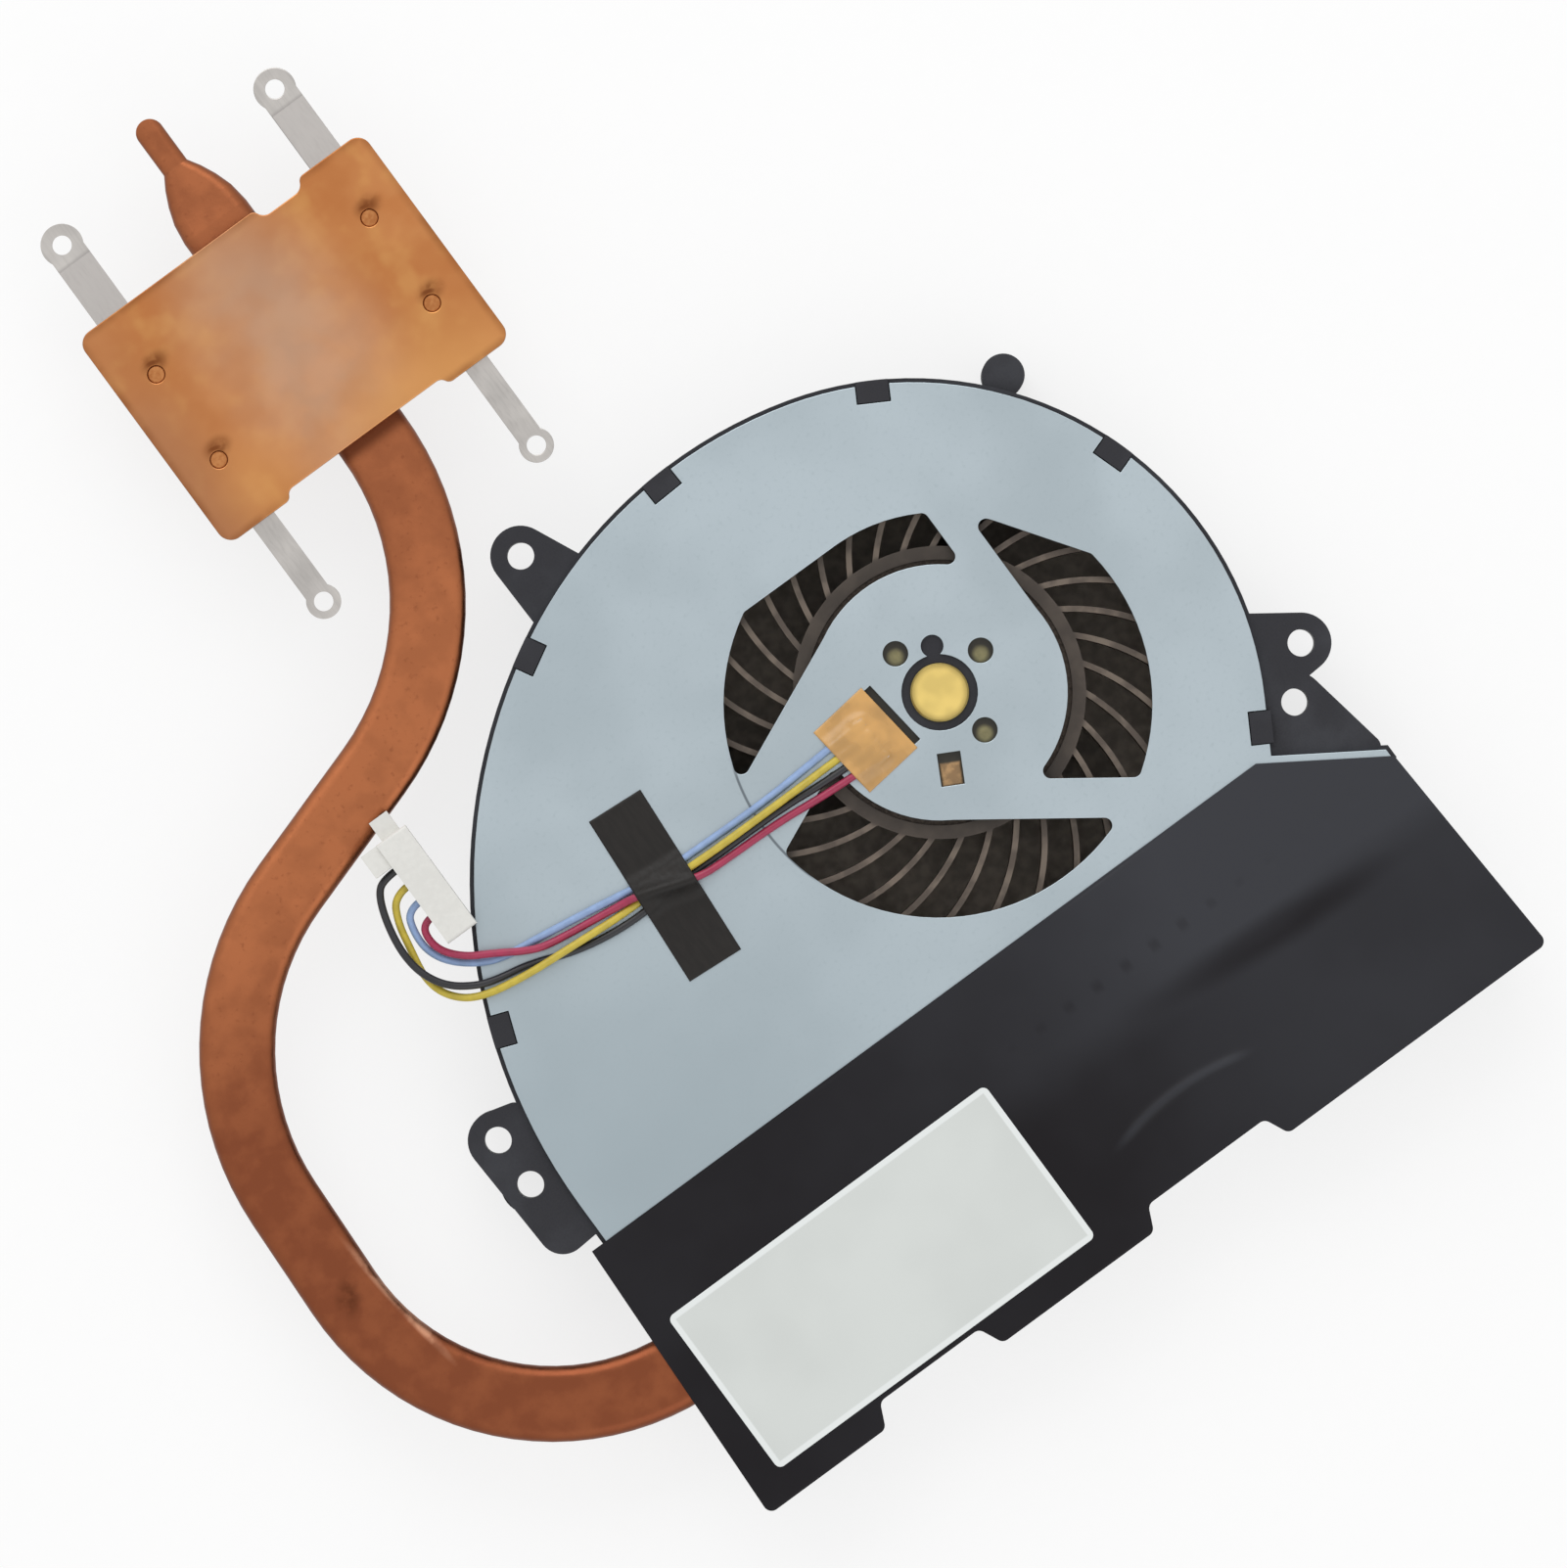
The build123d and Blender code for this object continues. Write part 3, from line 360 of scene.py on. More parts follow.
class CaseSettings(bpy.types.PropertyGroup):
    """Steel cover, moulded case and the motor parts that show in the hub."""

    cover_light: colour_of("Cover light", "Zinc plating where it is clean", 174, 185, 191)
    # Also the colour of the painted shade towards the cover's lower left
    cover_dark: colour_of("Cover dark", "Zinc plating where it is dull", 156, 168, 174)
    cover_line: colour_of("Die line", "Line that the inlet's punch left on the cover", 110, 118, 124)
    plastic: colour_of("Case plastic", "Black moulded plastic", 38, 38, 43)
    plastic_worn: colour_of("Worn plastic", "Case plastic where it is rubbed", 52, 53, 58)
    dust: colour_of("Dust", "Grey dust on the floor inside the case", 172, 160, 147)
    brass: colour_of("Brass", "Closed end of the bearing tube", 216, 190, 114)
    # Also shows as painted shadow on one side of each hole
    board: colour_of("Board", "Solder mask of the board behind the holes in the hub", 52, 48, 38)
    pad: colour_of("Pad", "Olive pads that show in the round holes", 146, 138, 98)
    slot_pad: colour_of("Slot pad", "Tan pad that shows in the slot", 190, 150, 104)
    edge: length_of("Edge", "Width of the broken edges", 0.00012)


class RotorSettings(bpy.types.PropertyGroup):
    """Impeller and what turns with it."""

    blade: colour_of("Blade", "Brown-black moulded plastic", 84, 74, 66)
    # Painted highlight mixed with dust along the blades' top edges
    blade_top_light_dust: colour_of("Blade rubbed", "Blade edge where it is dusty or rubbed", 114, 102, 91)


class CoolerSettings(bpy.types.PropertyGroup):
    """Heat pipe, cold plate, springs and fins."""

    plate: colour_of("Plate", "Bare copper of the cold plate", 188, 128, 80)
    plate_red: colour_of("Plate red", "Heat-tinted copper", 182, 116, 68)
    plate_gold: colour_of("Plate gold", "Copper with a yellow tint near the corners", 196, 142, 86)
    # Also the colour of the painted shade at the plate's edges and the painted shadow by the rivets
    plate_dark: colour_of("Plate dark", "Dark oxide at the plate's edges and rivets", 122, 70, 38)
    plate_dull: colour_of("Plate dull", "Duller copper along the plate's left side", 162, 112, 80)
    smudge: colour_of("Smudge", "Dull film left in the middle of the plate", 180, 146, 122)
    smudge_pale: colour_of("Pale smudge", "The same film towards the plate's low side", 197, 148, 114)
    pipe: colour_of("Pipe", "Oxidised copper of the heat pipe", 170, 104, 68)
    # Also the colour the pipe darkens to along y, and the base of the painted shade on its sides
    pipe_dark: colour_of("Pipe dark", "Darker oxide on the heat pipe", 128, 72, 48)
    # Painted shadow under the plate's edge, together with dark flux
    seam: colour_of("Seam", "Dark flux where the pipe goes under the plate", 92, 48, 30)
    # Painted highlight along the pipe's inner edge
    pipe_highlight_colour: colour_of("Pipe rub", "Pale line where the pipe's inner side is rubbed", 206, 152, 122)
    spring: colour_of("Spring", "Plated spring steel", 190, 186, 182)
    # Painted shade on the sloping upper arms, and the darker tone of clouds and rolling marks
    spring_dark_tone: colour_of("Dull spring", "The same steel on the sloping upper arms", 160, 156, 153)
    fin: colour_of("Fin", "Rolled aluminium", 214, 216, 218)


class WireSettings(bpy.types.PropertyGroup):
    """Wires and their connector."""

    diameter: length_of("Diameter", "Outside diameter of a wire", 0.0008)
    red: colour_of("Red", "Red insulation", 170, 48, 84)
    blue: colour_of("Blue", "Pale blue insulation", 146, 172, 214)
    black: colour_of("Black", "Black insulation", 38, 38, 42)
    yellow: colour_of("Yellow", "Yellow insulation", 206, 184, 66)
    nylon: colour_of("Nylon", "Natural nylon of the connector", 226, 225, 220)


class FilmSettings(bpy.types.PropertyGroup):
    """Adhesive films and the blank label."""

    film: colour_of("Black film", "Matt black film", 18, 15, 19)
    # Also the colour of the painted light to the right and the painted highlight on the crease
    film_pale: colour_of("Pale film", "Black film where it is dusty", 55, 56, 61)
    amber: colour_of("Amber film", "Polyimide film over the solder joints", 222, 170, 98)
    label: colour_of("Label", "Blank paper label", 216, 220, 217)
    label_rim: colour_of("Label rim", "Whiter margin of the label", 232, 236, 235)
    strip: colour_of("Strip", "Black tape across the wires", 34, 31, 29)
    thickness: length_of("Thickness", "Thickness of the strip and the amber patch", 0.00012)
    step: length_of("Step", "Spacing of the film's mesh", 0.00022)
    dent: length_of("Dent", "Depth of the dents where the shroud film is pressed onto the fins", 0.00008)
    sag: length_of("Sag", "How far the shroud film sinks along the heat pipe", 0.00009)
    crease: length_of("Crease", "Height of the crease beside the label", 0.00030)
    slack: length_of("Slack", "Height of the shroud film's soft waves", 0.00005)
    grid: length_of("Grid", "Spacing of the shroud film's mesh", 0.00030)
    pull: FloatProperty(
        name="Pull", description="How sharply a film bends down to the cover, per metre",
        default=700.0, min=0.0
    )


class StageSettings(bpy.types.PropertyGroup):
    """Floor, light and camera."""

    floor: colour_of("Floor", "Pale floor", 250, 250, 250)
    floor_size: length_of("Floor size", "Side of the floor", 3.0)
    glow: FloatProperty(
        name="Floor glow", description="Share of plain white in the floor as the camera sees it",
        default=0.75, min=0.0, max=1.0, subtype="FACTOR"
    )
    sky: FloatProperty(name="Sky", description="Light from all round", default=0.7, min=0.0)
    key_power: power_of("Key lamp", "Power of the main lamp", 3.6)
    key_place: place_of("Key place", "Main lamp, right, up and above the centre", (-0.2, 0.7, 0.5))
    fill_power: power_of("Fill lamp", "Power of the second lamp", 1.2)
    fill_place: place_of("Fill place", "Second lamp, right, up and above the centre", (0.4, -0.6, 0.5))
    lamp_size: length_of("Lamp size", "Side of each lamp", 0.8)
    turn: FloatProperty(
        name="Camera turn", description="Turn of the picture about the vertical",
        default=math.radians(-36.3), subtype="ANGLE", unit="ROTATION"
    )
    centre: place_of("Centre", "Middle of the picture on the cover", (-0.0184, 0.0019, 0.011))
    width: length_of("Picture width", "What the picture takes in across", 0.1601)
    distance: length_of("Camera distance", "Height of the camera above the cover", 1.5)


class Look:
    """A node material in the making, in the object's own metres; marks and distances are in plan."""

    def __init__(self, name, **sockets):
        self.material = bpy.data.materials.new(name)
        self.material.use_nodes = True
        self.nodes = self.material.node_tree.nodes
        self.links = self.material.node_tree.links
        self.shader = self.nodes["Principled BSDF"]
        coordinates = self.nodes.new("ShaderNodeTexCoord").outputs
        self.place, self.facing = coordinates["Object"], coordinates["Normal"]
        self.normal = None
        for socket, value in sockets.items():
            self.shader.inputs[socket.replace("_", " ")].default_value = value

    def feed(self, socket, value):
        """Links a socket, or sets it to a fixed value."""
        if isinstance(value, bpy.types.NodeSocket):
            self.links.new(value, socket)
        else:
            socket.default_value = value

    def node(self, kind, inputs, **settings):
        """A new node with its settings and inputs."""
        made = self.nodes.new(kind)
        for key, value in settings.items():
            setattr(made, key, value)
        for socket, value in inputs.items():
            self.feed(made.inputs[socket], value)
        return made

    def math(self, operation, first, second=0.0):
        """One sum, product or other operation on one or two values."""
        return self.node("ShaderNodeMath", {0: first, 1: second}, operation=operation).outputs["Value"]

    def times(self, first, second):
        """The product of two values."""
        return self.math("MULTIPLY", first, second)

    def part(self, vector, axis):
        """One component of a vector."""
        return self.node("ShaderNodeSeparateXYZ", {0: vector}).outputs[axis]

    def around(self, centre, radii, turn=0.0):
        """Coordinates from a centre, in units of the radii."""
        inputs = {"Vector": self.place, "Location": centre, "Rotation": (0.0, 0.0, turn), "Scale": radii}
        return self.node("ShaderNodeMapping", inputs, vector_type="TEXTURE").outputs["Vector"]

    def grain(self, size, detail=2.0, stretch=(1.0, 1.0, 1.0), turn=0.0):
        """Noise with features of a size."""
        scale = tuple(size * part for part in stretch)
        inputs = {"Vector": self.around((0.0, 0.0, 0.0), scale, turn), "Scale": 1.0, "Detail": detail}
        return self.node("ShaderNodeTexNoise", inputs).outputs["Fac"]

    def span(self, value, low, high, start=0.0, end=1.0):
        """A value carried smoothly from one range to another and held at its ends."""
        inputs = {"Value": value, "From Min": low, "From Max": high, "To Min": start, "To Max": end}
        return self.node("ShaderNodeMapRange", inputs, interpolation_type="SMOOTHSTEP").outputs["Result"]

    def spread(self, noise, start=0.0, end=1.0):
        """Noise carried from its usual range to another."""
        return self.span(noise, *NOISE_RANGE, start, end)

    def between(self, value, start, full, fade, end):
        """A share that rises from a start until it is full, then fades to its end."""
        return self.times(self.span(value, start, full), self.span(value, end, fade))

    def reach(self, centre, radii, turn=0.0):
        """Distance from a centre, in units of the radii."""
        inputs = {0: self.around((*centre, 0.0), (*radii, 1.0), turn)}
        return self.node("ShaderNodeVectorMath", inputs, operation="LENGTH").outputs["Value"]

    def off_circle(self, centre, radius):
        """Distance from a circle's line, in units of its radius."""
        return self.math("ABSOLUTE", self.math("SUBTRACT", self.reach(centre, (radius, radius)), 1.0))

    def mark(self, mark, origin=(0.0, 0.0)):
        """A mark's share, 1 in its middle and 0 at its radii, with its centre taken from an origin."""
        centre = [start + shift for start, shift in zip(origin, mark.centre)]
        return self.span(self.reach(centre, mark.radii, mark.turn), 1.0, 1.0 - mark.soft)

    def sides(self, centre, halves, turn=0.0):
        """Distances from a rectangle's middle lines, in units of its half sides."""
        place = self.around((*centre, 0.0), (*halves, 1.0), turn)
        return [self.math("ABSOLUTE", self.part(place, axis)) for axis in "XY"]

    def pad(self, centre, halves, turn, soft):
        """A rectangle that is 1 inside and fades to 0 at its sides."""
        return self.span(self.math("MAXIMUM", *self.sides(centre, halves, turn)), 1.0, 1.0 - soft)

    def border(self, node, inner, outer, strength=1.0):
        """A frame round a node: 0 as far in as the inner width, full from the outer width to the edge."""
        low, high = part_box(node)
        halves = ((high - low) / 2).xy
        frames = [self.span(side, 1.0 - inner / half, 1.0 - outer / half, 0.0, strength)
                  for side, half in zip(self.sides(((low + high) / 2).xy, halves), halves)]
        return self.math("MAXIMUM", *frames)

    def mix(self, share, first, second):
        """Two colours mixed by a share of the second."""
        return self.node("ShaderNodeMix", {0: share, 6: first, 7: second}, data_type="RGBA").outputs[2]

    def mottle(self, noise, colour, factor, limits=NOISE_RANGE):
        """A colour that is darker by a factor where noise is low."""
        return self.mix(self.span(noise, *limits), shade(colour, factor), colour)

    def colour(self, value):
        """Sets the surface's colour."""
        self.feed(self.shader.inputs["Base Color"], value)

    def rough(self, noise, low, high):
        """Sets the surface's roughness, varied by noise."""
        self.feed(self.shader.inputs["Roughness"], self.spread(noise, low, high))

    def bump(self, height, depth):
        """Adds relief of a depth to what is there."""
        made = self.node("ShaderNodeBump", {"Height": height, "Distance": depth})
        if self.normal:
            self.links.new(self.normal, made.inputs["Normal"])
        self.normal = made.outputs["Normal"]
        self.feed(self.shader.inputs["Normal"], self.normal)


def grained(finish, **sockets):
    """The look of a plain finish: two shades mixed by grain, with the grain's own relief."""
    look = Look(finish.name, Metallic=finish.metallic, **sockets)
    cloud = look.grain(CLOUD_RATIO * finish.size, detail=3.0)
    fine = look.grain(finish.size)
    light = look.span(look.math("ADD", cloud, fine), *NOISE_SUM_RANGE)
    look.colour(look.mix(light, finish.dark, finish.light))
    look.rough(cloud, *finish.roughness)
    look.bump(fine, finish.relief)
    return look


def zinc_finish(case):
    """Satin zinc: faint clouds, painted shade towards the lower left, fine rolling marks and the punch's
    line across the wires' spoke.
    """
    look = Look("zinc_steel", Metallic=1.0)
    cloud = look.grain(0.016, detail=3.0)
    speck = look.grain(0.0005, detail=3.0)
    colour = look.mix(look.spread(cloud, 0.55, 1.0), case.cover_dark, case.cover_light)
    # Painted shade towards the cover's lower left
    colour = look.mix(look.times(look.mark(COVER_PAINTED_SHADE), 0.8), colour, case.cover_dark)
    colour = look.mix(look.span(speck, 0.52, 0.80, 0.0, 0.4), colour, case.cover_dark)
    line = look.span(look.off_circle(INLET_CENTRE, INLET_RADIUS), *DIE_LINE_EDGES)
    look.colour(look.mix(look.times(line, look.mark(DIE_LINE_SPOKE)), colour, case.cover_line))
    look.rough(cloud, 0.36, 0.46)
    look.bump(look.grain(0.0012, stretch=(9.0, 1.0, 1.0)), 0.000006)
    look.bump(speck, 0.000004)
    return look.material


def case_finish(case, name, dusty_from=None):
    """Black moulded plastic with a fine spark texture, paler where it is rubbed, dusty above a height."""
    look = Look(name, Specular_IOR_Level=0.3)
    cloud = look.grain(0.006, detail=4.0)
    spark = look.grain(0.00018)
    colour = look.mix(look.span(cloud, 0.42, 0.78), case.plastic, case.plastic_worn)
    if dusty_from is not None:
        dusty = look.span(look.part(look.place, "Z"), dusty_from - DUST_FADE, dusty_from)
        colour = look.mix(dusty, colour, look.mottle(look.grain(0.0014, detail=4.0), case.dust, 0.6))
    look.colour(colour)
    look.rough(spark, 0.42, 0.62)
    look.bump(spark, 0.000012)
    return look.material


def brass_finish(case):
    """Turned brass with painted highlight spots, darker towards the rim."""
    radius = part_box("bearing_tube")[1].x
    look = Look("brass", Metallic=1.0)
    reach = look.reach(FAN_AXIS, (radius, radius))
    brass_highlight_and_gloss = look.grain(0.0022, detail=1.0)
    # Painted highlight: paler brass in spots
    colour = look.mix(look.span(brass_highlight_and_gloss, 0.35, 0.7), case.brass, shade(case.brass, 1.12))
    look.colour(look.mix(look.span(reach, 0.72, 1.0), colour, shade(case.brass, 0.6)))
    look.rough(brass_highlight_and_gloss, 0.3, 0.42)
    look.bump(look.math("SINE", look.times(reach, TOOL_MARK_PHASE)), 0.0000015)
    return look.material


def board_finish(case):
    """Dark solder mask with a pad in each hole of the hub, set off-centre so that the mask shows as
    painted shadow.
    """
    look = Look("board", Specular_IOR_Level=0.4)
    grain = look.grain(0.0009, detail=3.0)
    pads = 0.0
    # Off-centre pads leave painted shadow of dark mask in the holes
    for place in PORT_PLACES:
        pads = look.math("MAXIMUM", pads, look.mark(PORT_PAD_BESIDE_SHADOW, polar(*place)))
    olive = look.mottle(grain, case.pad, 0.75, (0.35, 0.7))
    colour = look.mix(pads, look.mottle(grain, case.board, 0.7), olive)
    slot_centre = polar(SLOT_RADIUS + SLOT_PAD_SHIFT_FROM_SHADOW, SLOT_DEGREES)
    slot = look.pad(slot_centre, SLOT_PAD_HALVES, math.radians(SLOT_DEGREES), 0.25)
    tan = look.mottle(grain, case.slot_pad, 0.6, (0.4, 0.6))
    look.colour(look.mix(slot, colour, tan))
    look.rough(grain, 0.3, 0.45)
    look.bump(look.math("MAXIMUM", pads, slot), 0.00004)
    return look.material


def impeller_finish(rotor):
    """Brown-black plastic, lighter along the blades' top edges as painted highlight with dust, darker on
    the hub.
    """
    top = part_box("impeller")[1].z
    look = Look("brown_plastic", Specular_IOR_Level=0.35)
    dust = look.grain(0.0024, detail=4.0)
    fine = look.grain(0.0003)
    # Painted highlight with dust along the blades' top edges
    edge = look.span(look.part(look.place, "Z"), top - BLADE_TOP_LIGHT_DEPTH, top)
    rubbed = look.times(edge, look.span(dust, 0.38, 0.62))
    colour = look.mix(rubbed, rotor.blade, rotor.blade_top_light_dust)
    hub = look.span(look.reach(FAN_AXIS, (HUB_RADIUS, HUB_RADIUS)), 1.03, 0.99)
    look.colour(look.mix(look.times(hub, 0.75), colour, shade(rotor.blade, 0.45)))
    look.rough(fine, 0.36, 0.52)
    look.bump(fine, 0.000008)
    return look.material


def rivet_places():
    """Places of the four rivets in plan."""
    low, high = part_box("spring_rivets")
    return [(x, y) for x in (low.x + RIVET_HEAD_RADIUS, high.x - RIVET_HEAD_RADIUS)
            for y in (low.y + RIVET_HEAD_RADIUS, high.y - RIVET_HEAD_RADIUS)]


def rivet_shadow_and_oxide(look, dark):
    """Adds a painted shadow ring and a patchy smear of painted shade and oxide above each rivet to what is
    already dark.
    """
    patchy = look.span(look.grain(0.0012, detail=3.0), 0.35, 0.6, 0.45, 0.95)
    for rivet in rivet_places():
        reach = look.reach(rivet, (RIVET_RING_RADIUS, RIVET_RING_RADIUS))
        ring = look.between(reach, 0.55, 0.8, 0.95, 1.3)
        dark = look.math("MAXIMUM", dark, look.times(ring, look.mark(RIVET_SHADOW, rivet)))
        dark = look.math("MAXIMUM", dark, look.times(look.mark(RIVET_SMEAR_SHADE_OXIDE, rivet), patchy))
    return dark


def plate_finish(cooler):
    """Bare copper: heat tints, a dull smudge in the middle, painted shade at the edges and painted shadow
    with oxide by the rivets.
    """
    low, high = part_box("cold_plate")
    middle = ((low + high) / 2).xy
    low_side = (middle.x, low.y)
    look = Look("copper_plate", Metallic=1.0)
    across, along = look.part(look.place, "X"), look.part(look.place, "Y")
    cloud = look.grain(0.009, detail=3.0)
    fleck = look.grain(0.0042, detail=2.5)
    colour = look.mix(look.span(cloud, 0.25, 0.75), cooler.plate_red, cooler.plate)
    gold = look.span(look.grain(0.0065, detail=3.0), 0.5, 0.8, 0.0, 0.55)
    colour = look.mix(gold, colour, cooler.plate_gold)
    colour = look.mix(look.span(fleck, 0.48, 0.74, 0.0, 0.6), colour, shade(cooler.plate_red, 0.96))
    colour = look.mix(look.span(fleck, 0.52, 0.26, 0.0, 0.6), colour, shade(cooler.plate_gold, 1.06))
    dull = look.span(across, middle.x + PLATE_DULL_START, low.x, 0.0, 0.75)
    dull = look.times(dull, look.span(along, middle.y + PLATE_DULL_TOP, middle.y, 0.4, 1.0))
    colour = look.mix(dull, colour, cooler.plate_dull)
    streaky = look.span(look.grain(0.008, detail=3.0), 0.25, 0.65, 0.5, 1.0)
    smear = look.times(look.mark(PLATE_SMEAR, middle), streaky)
    smudge = look.mix(look.span(along, high.y, low.y), cooler.smudge, cooler.smudge_pale)
    smudge = look.mix(look.span(fleck, 0.42, 0.62, 0.0, 0.35), smudge, shade(cooler.smudge, 0.94))
    colour = look.mix(look.times(smear, 0.95), colour, smudge)
    corner = look.times(look.mark(PLATE_CORNER, low_side), 0.5)
    bright = look.math("MAXIMUM", look.mark(PLATE_BRIGHT, low_side), corner)
    colour = look.mix(look.times(bright, 0.7), colour, shade(cooler.plate_gold, 1.12))
    # Painted shade along the plate's rounded edges, broken into patches
    edge_patches = look.spread(look.grain(0.004, detail=3.0), 0.3, 1.0)
    rim = look.times(look.border("cold_plate", PLATE_RIM, 0.0, 0.6), edge_patches)
    look.colour(look.mix(rivet_shadow_and_oxide(look, rim), colour, cooler.plate_dark))
    look.rough(cloud, 0.32, 0.46)
    look.bump(look.grain(0.0006, detail=3.0, stretch=(1.0, 14.0, 1.0), turn=0.4), 0.000004)
    look.bump(look.grain(0.0045), 0.00001)
    return look.material


def pipe_finish(cooler):
    """Oxidised copper with dark blotches, a stain, a painted highlight, painted side shade, and painted
    shadow with flux at the plate.
    """
    low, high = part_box("cold_plate")
    look = Look("copper_pipe", Metallic=1.0)
    along = look.part(look.place, "Y")
    blotch = look.grain(0.0030, detail=5.0)
    speck = look.grain(0.0006, detail=3.0)
    # Darker towards the pipe's low end and towards its tail
    tail = look.span(along, *PIPE_TAIL_DARKENING, 0.0, 0.4)
    oxide = look.math("MAXIMUM", look.span(along, *PIPE_LOW_DARKENING, 0.05, 0.92), tail)
    oxide = look.math("ADD", oxide, look.spread(blotch, 0.16, -0.16))
    colour = look.mix(oxide, cooler.pipe, cooler.pipe_dark)
    patchy = look.span(look.grain(0.0012, detail=4.0), 0.35, 0.6, 0.35, 1.0)
    stain = look.times(look.mark(PIPE_STAIN), patchy)
    colour = look.mix(stain, colour, shade(cooler.pipe_dark, 0.55))
    # Painted highlight along the inner edge of the lower bend
    highlight = look.times(look.mark(PIPE_HIGHLIGHT), look.span(blotch, 0.40, 0.56, 0.3, 1.0))
    colour = look.mix(highlight, colour, cooler.pipe_highlight_colour)
    # Painted shade on the pipe's rounded sides, by how far they face away from straight up
    side = look.span(look.part(look.facing, "Z"), 0.95, 0.3, 0.0, 0.55)
    colour = look.mix(side, colour, shade(cooler.pipe_dark, 0.6))
    # Painted shadow where the plate's edge overhangs the pipe, with dark flux
    seam = look.between(along, low.y - SEAM_OUT, low.y + SEAM_IN, high.y, high.y + SEAM_END)
    colour = look.mix(look.times(seam, 0.85), colour, cooler.seam)
    look.colour(look.mix(look.span(speck, 0.58, 0.78, 0.0, 0.5), colour, cooler.pipe_dark))
    look.rough(blotch, 0.34, 0.5)
    look.bump(blotch, 0.00004)
    look.bump(speck, 0.000015)
    return look.material


def spring_finish(cooler):
    """Plated strip with rolling marks along its length, and painted shade on its sloping upper arms."""
    look = Look("spring_steel", Metallic=1.0)
    marks = look.grain(0.00025, detail=3.0, stretch=(1.0, 40.0, 1.0))
    cloud = look.grain(0.005, detail=3.0)
    along = look.part(look.place, "Y")
    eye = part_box("spring_strip_left")[1].y - SPRING_EYE
    # Painted shade on the sloping upper arms
    arm_shade = look.between(along, eye - ARM_LOW_END, eye - ARM_FULL, eye, eye + ARM_TOP_FADE)
    steel = look.mix(arm_shade, cooler.spring, cooler.spring_dark_tone)
    colour = look.mix(look.spread(cloud, 0.35, 0.0), steel, shade(cooler.spring_dark_tone, 0.86))
    look.colour(look.mix(look.span(marks, 0.4, 0.8, 0.0, 0.3), colour, shade(cooler.spring_dark_tone, 0.8)))
    look.rough(cloud, 0.36, 0.46)
    look.bump(marks, 0.000003)
    return look.material


def band_line():
    """Middle, half length and turn of the band where the shroud film sinks."""
    first, last = (Vector(end) for end in BAND_ENDS)
    run = last - first
    return (first + last) / 2, run.length / 2, math.atan2(run.y, run.x)


def shroud_finish(film):
    """Matt black film: painted light to the right, dust by the cover, painted shade in its band and dents,
    a painted highlight on its crease.
    """
    look = Look("black_film", Specular_IOR_Level=0.17)
    across, along = look.part(look.place, "X"), look.part(look.place, "Y")
    haze = look.grain(0.014, detail=3.0)
    # Painted light towards the right, over random dust haze
    dust = look.math("ADD", look.span(across, *RIGHT_PAINTED_LIGHT, 0.0, 0.5), look.spread(haze, 0.0, 0.14))
    cover_side = look.span(across, *COVER_SIDE_DUST_X, 0.05, 0.5)
    dust = look.math("ADD", dust, look.times(look.span(along, *COVER_SIDE_DUST_Y), cover_side))
    middle, half, turn = band_line()
    # Painted shade in the band where the film sinks
    band = look.mark(Mark(middle, (half, 1.6 * BAND_HALF), turn, 0.8))
    dust = look.math("SUBTRACT", dust, look.times(band, 0.55))
    # Painted shade in the dents along the fin lips, by their spacing
    phase = look.times(look.math("SUBTRACT", across, DENT_START), 2 * math.pi / DENT_SPACING)
    dents = look.times(look.span(look.math("COSINE", phase), 0.2, 1.0), look.mark(DENT_SHADE))
    dust = look.math("SUBTRACT", dust, look.times(dents, 0.3))
    # Painted highlight along the crease
    line = look.span(look.off_circle(CREASE_CENTRE, CREASE_RADIUS), 1.4 * CREASE_HALF / CREASE_RADIUS, 0.0)
    fold = look.times(line, look.mark(CREASE_HIGHLIGHT, CREASE_CENTRE))
    dust = look.math("ADD", dust, look.times(fold, 0.6))
    look.colour(look.mix(dust, film.film, film.film_pale))
    look.rough(haze, 0.4, 0.54)
    look.bump(look.grain(0.0011), 0.00001)
    return look.material


def strip_finish(film):
    """Black tape with a fine weave."""
    look = Look("black_tape", Specular_IOR_Level=0.25)
    weave = look.grain(0.00045, stretch=(1.0, 5.0, 1.0))
    look.colour(look.mottle(weave, film.strip, 0.75, (0.35, 0.7)))
    look.rough(weave, 0.4, 0.55)
    look.bump(weave, 0.00003)
    return look.material


def amber_finish(film):
    """Polyimide film, a little see-through, mottled by its glue."""
    look = Look("amber_film", Alpha=0.9, Coat_Weight=0.4, Coat_Roughness=0.25)
    cloud = look.grain(0.0030)
    look.colour(look.mottle(cloud, film.amber, 0.74))
    look.rough(cloud, 0.22, 0.36)
    look.bump(cloud, 0.00006)
    return look.material


def label_finish(film):
    """Blank paper with a fibre texture and a whiter margin."""
    look = Look("label", Specular_IOR_Level=0.3)
    fibre = look.grain(0.0007, detail=4.0)
    paper = look.mottle(look.grain(0.012), film.label, 0.94)
    look.colour(look.mix(look.border("blank_label", *LABEL_MARGIN), paper, film.label_rim))
    look.rough(fibre, 0.5, 0.65)
    look.bump(fibre, 0.00001)
    return look.material


def wire_finish(name, colour):
    """Smooth insulation with faint draw marks."""
    look = Look("wire_" + name, Specular_IOR_Level=0.45)
    marks = look.grain(0.0012, detail=3.0)
    look.colour(look.mottle(marks, colour, 0.82))
    look.rough(marks, 0.3, 0.42)
    look.bump(look.grain(0.0003), 0.00001)
    return look.material


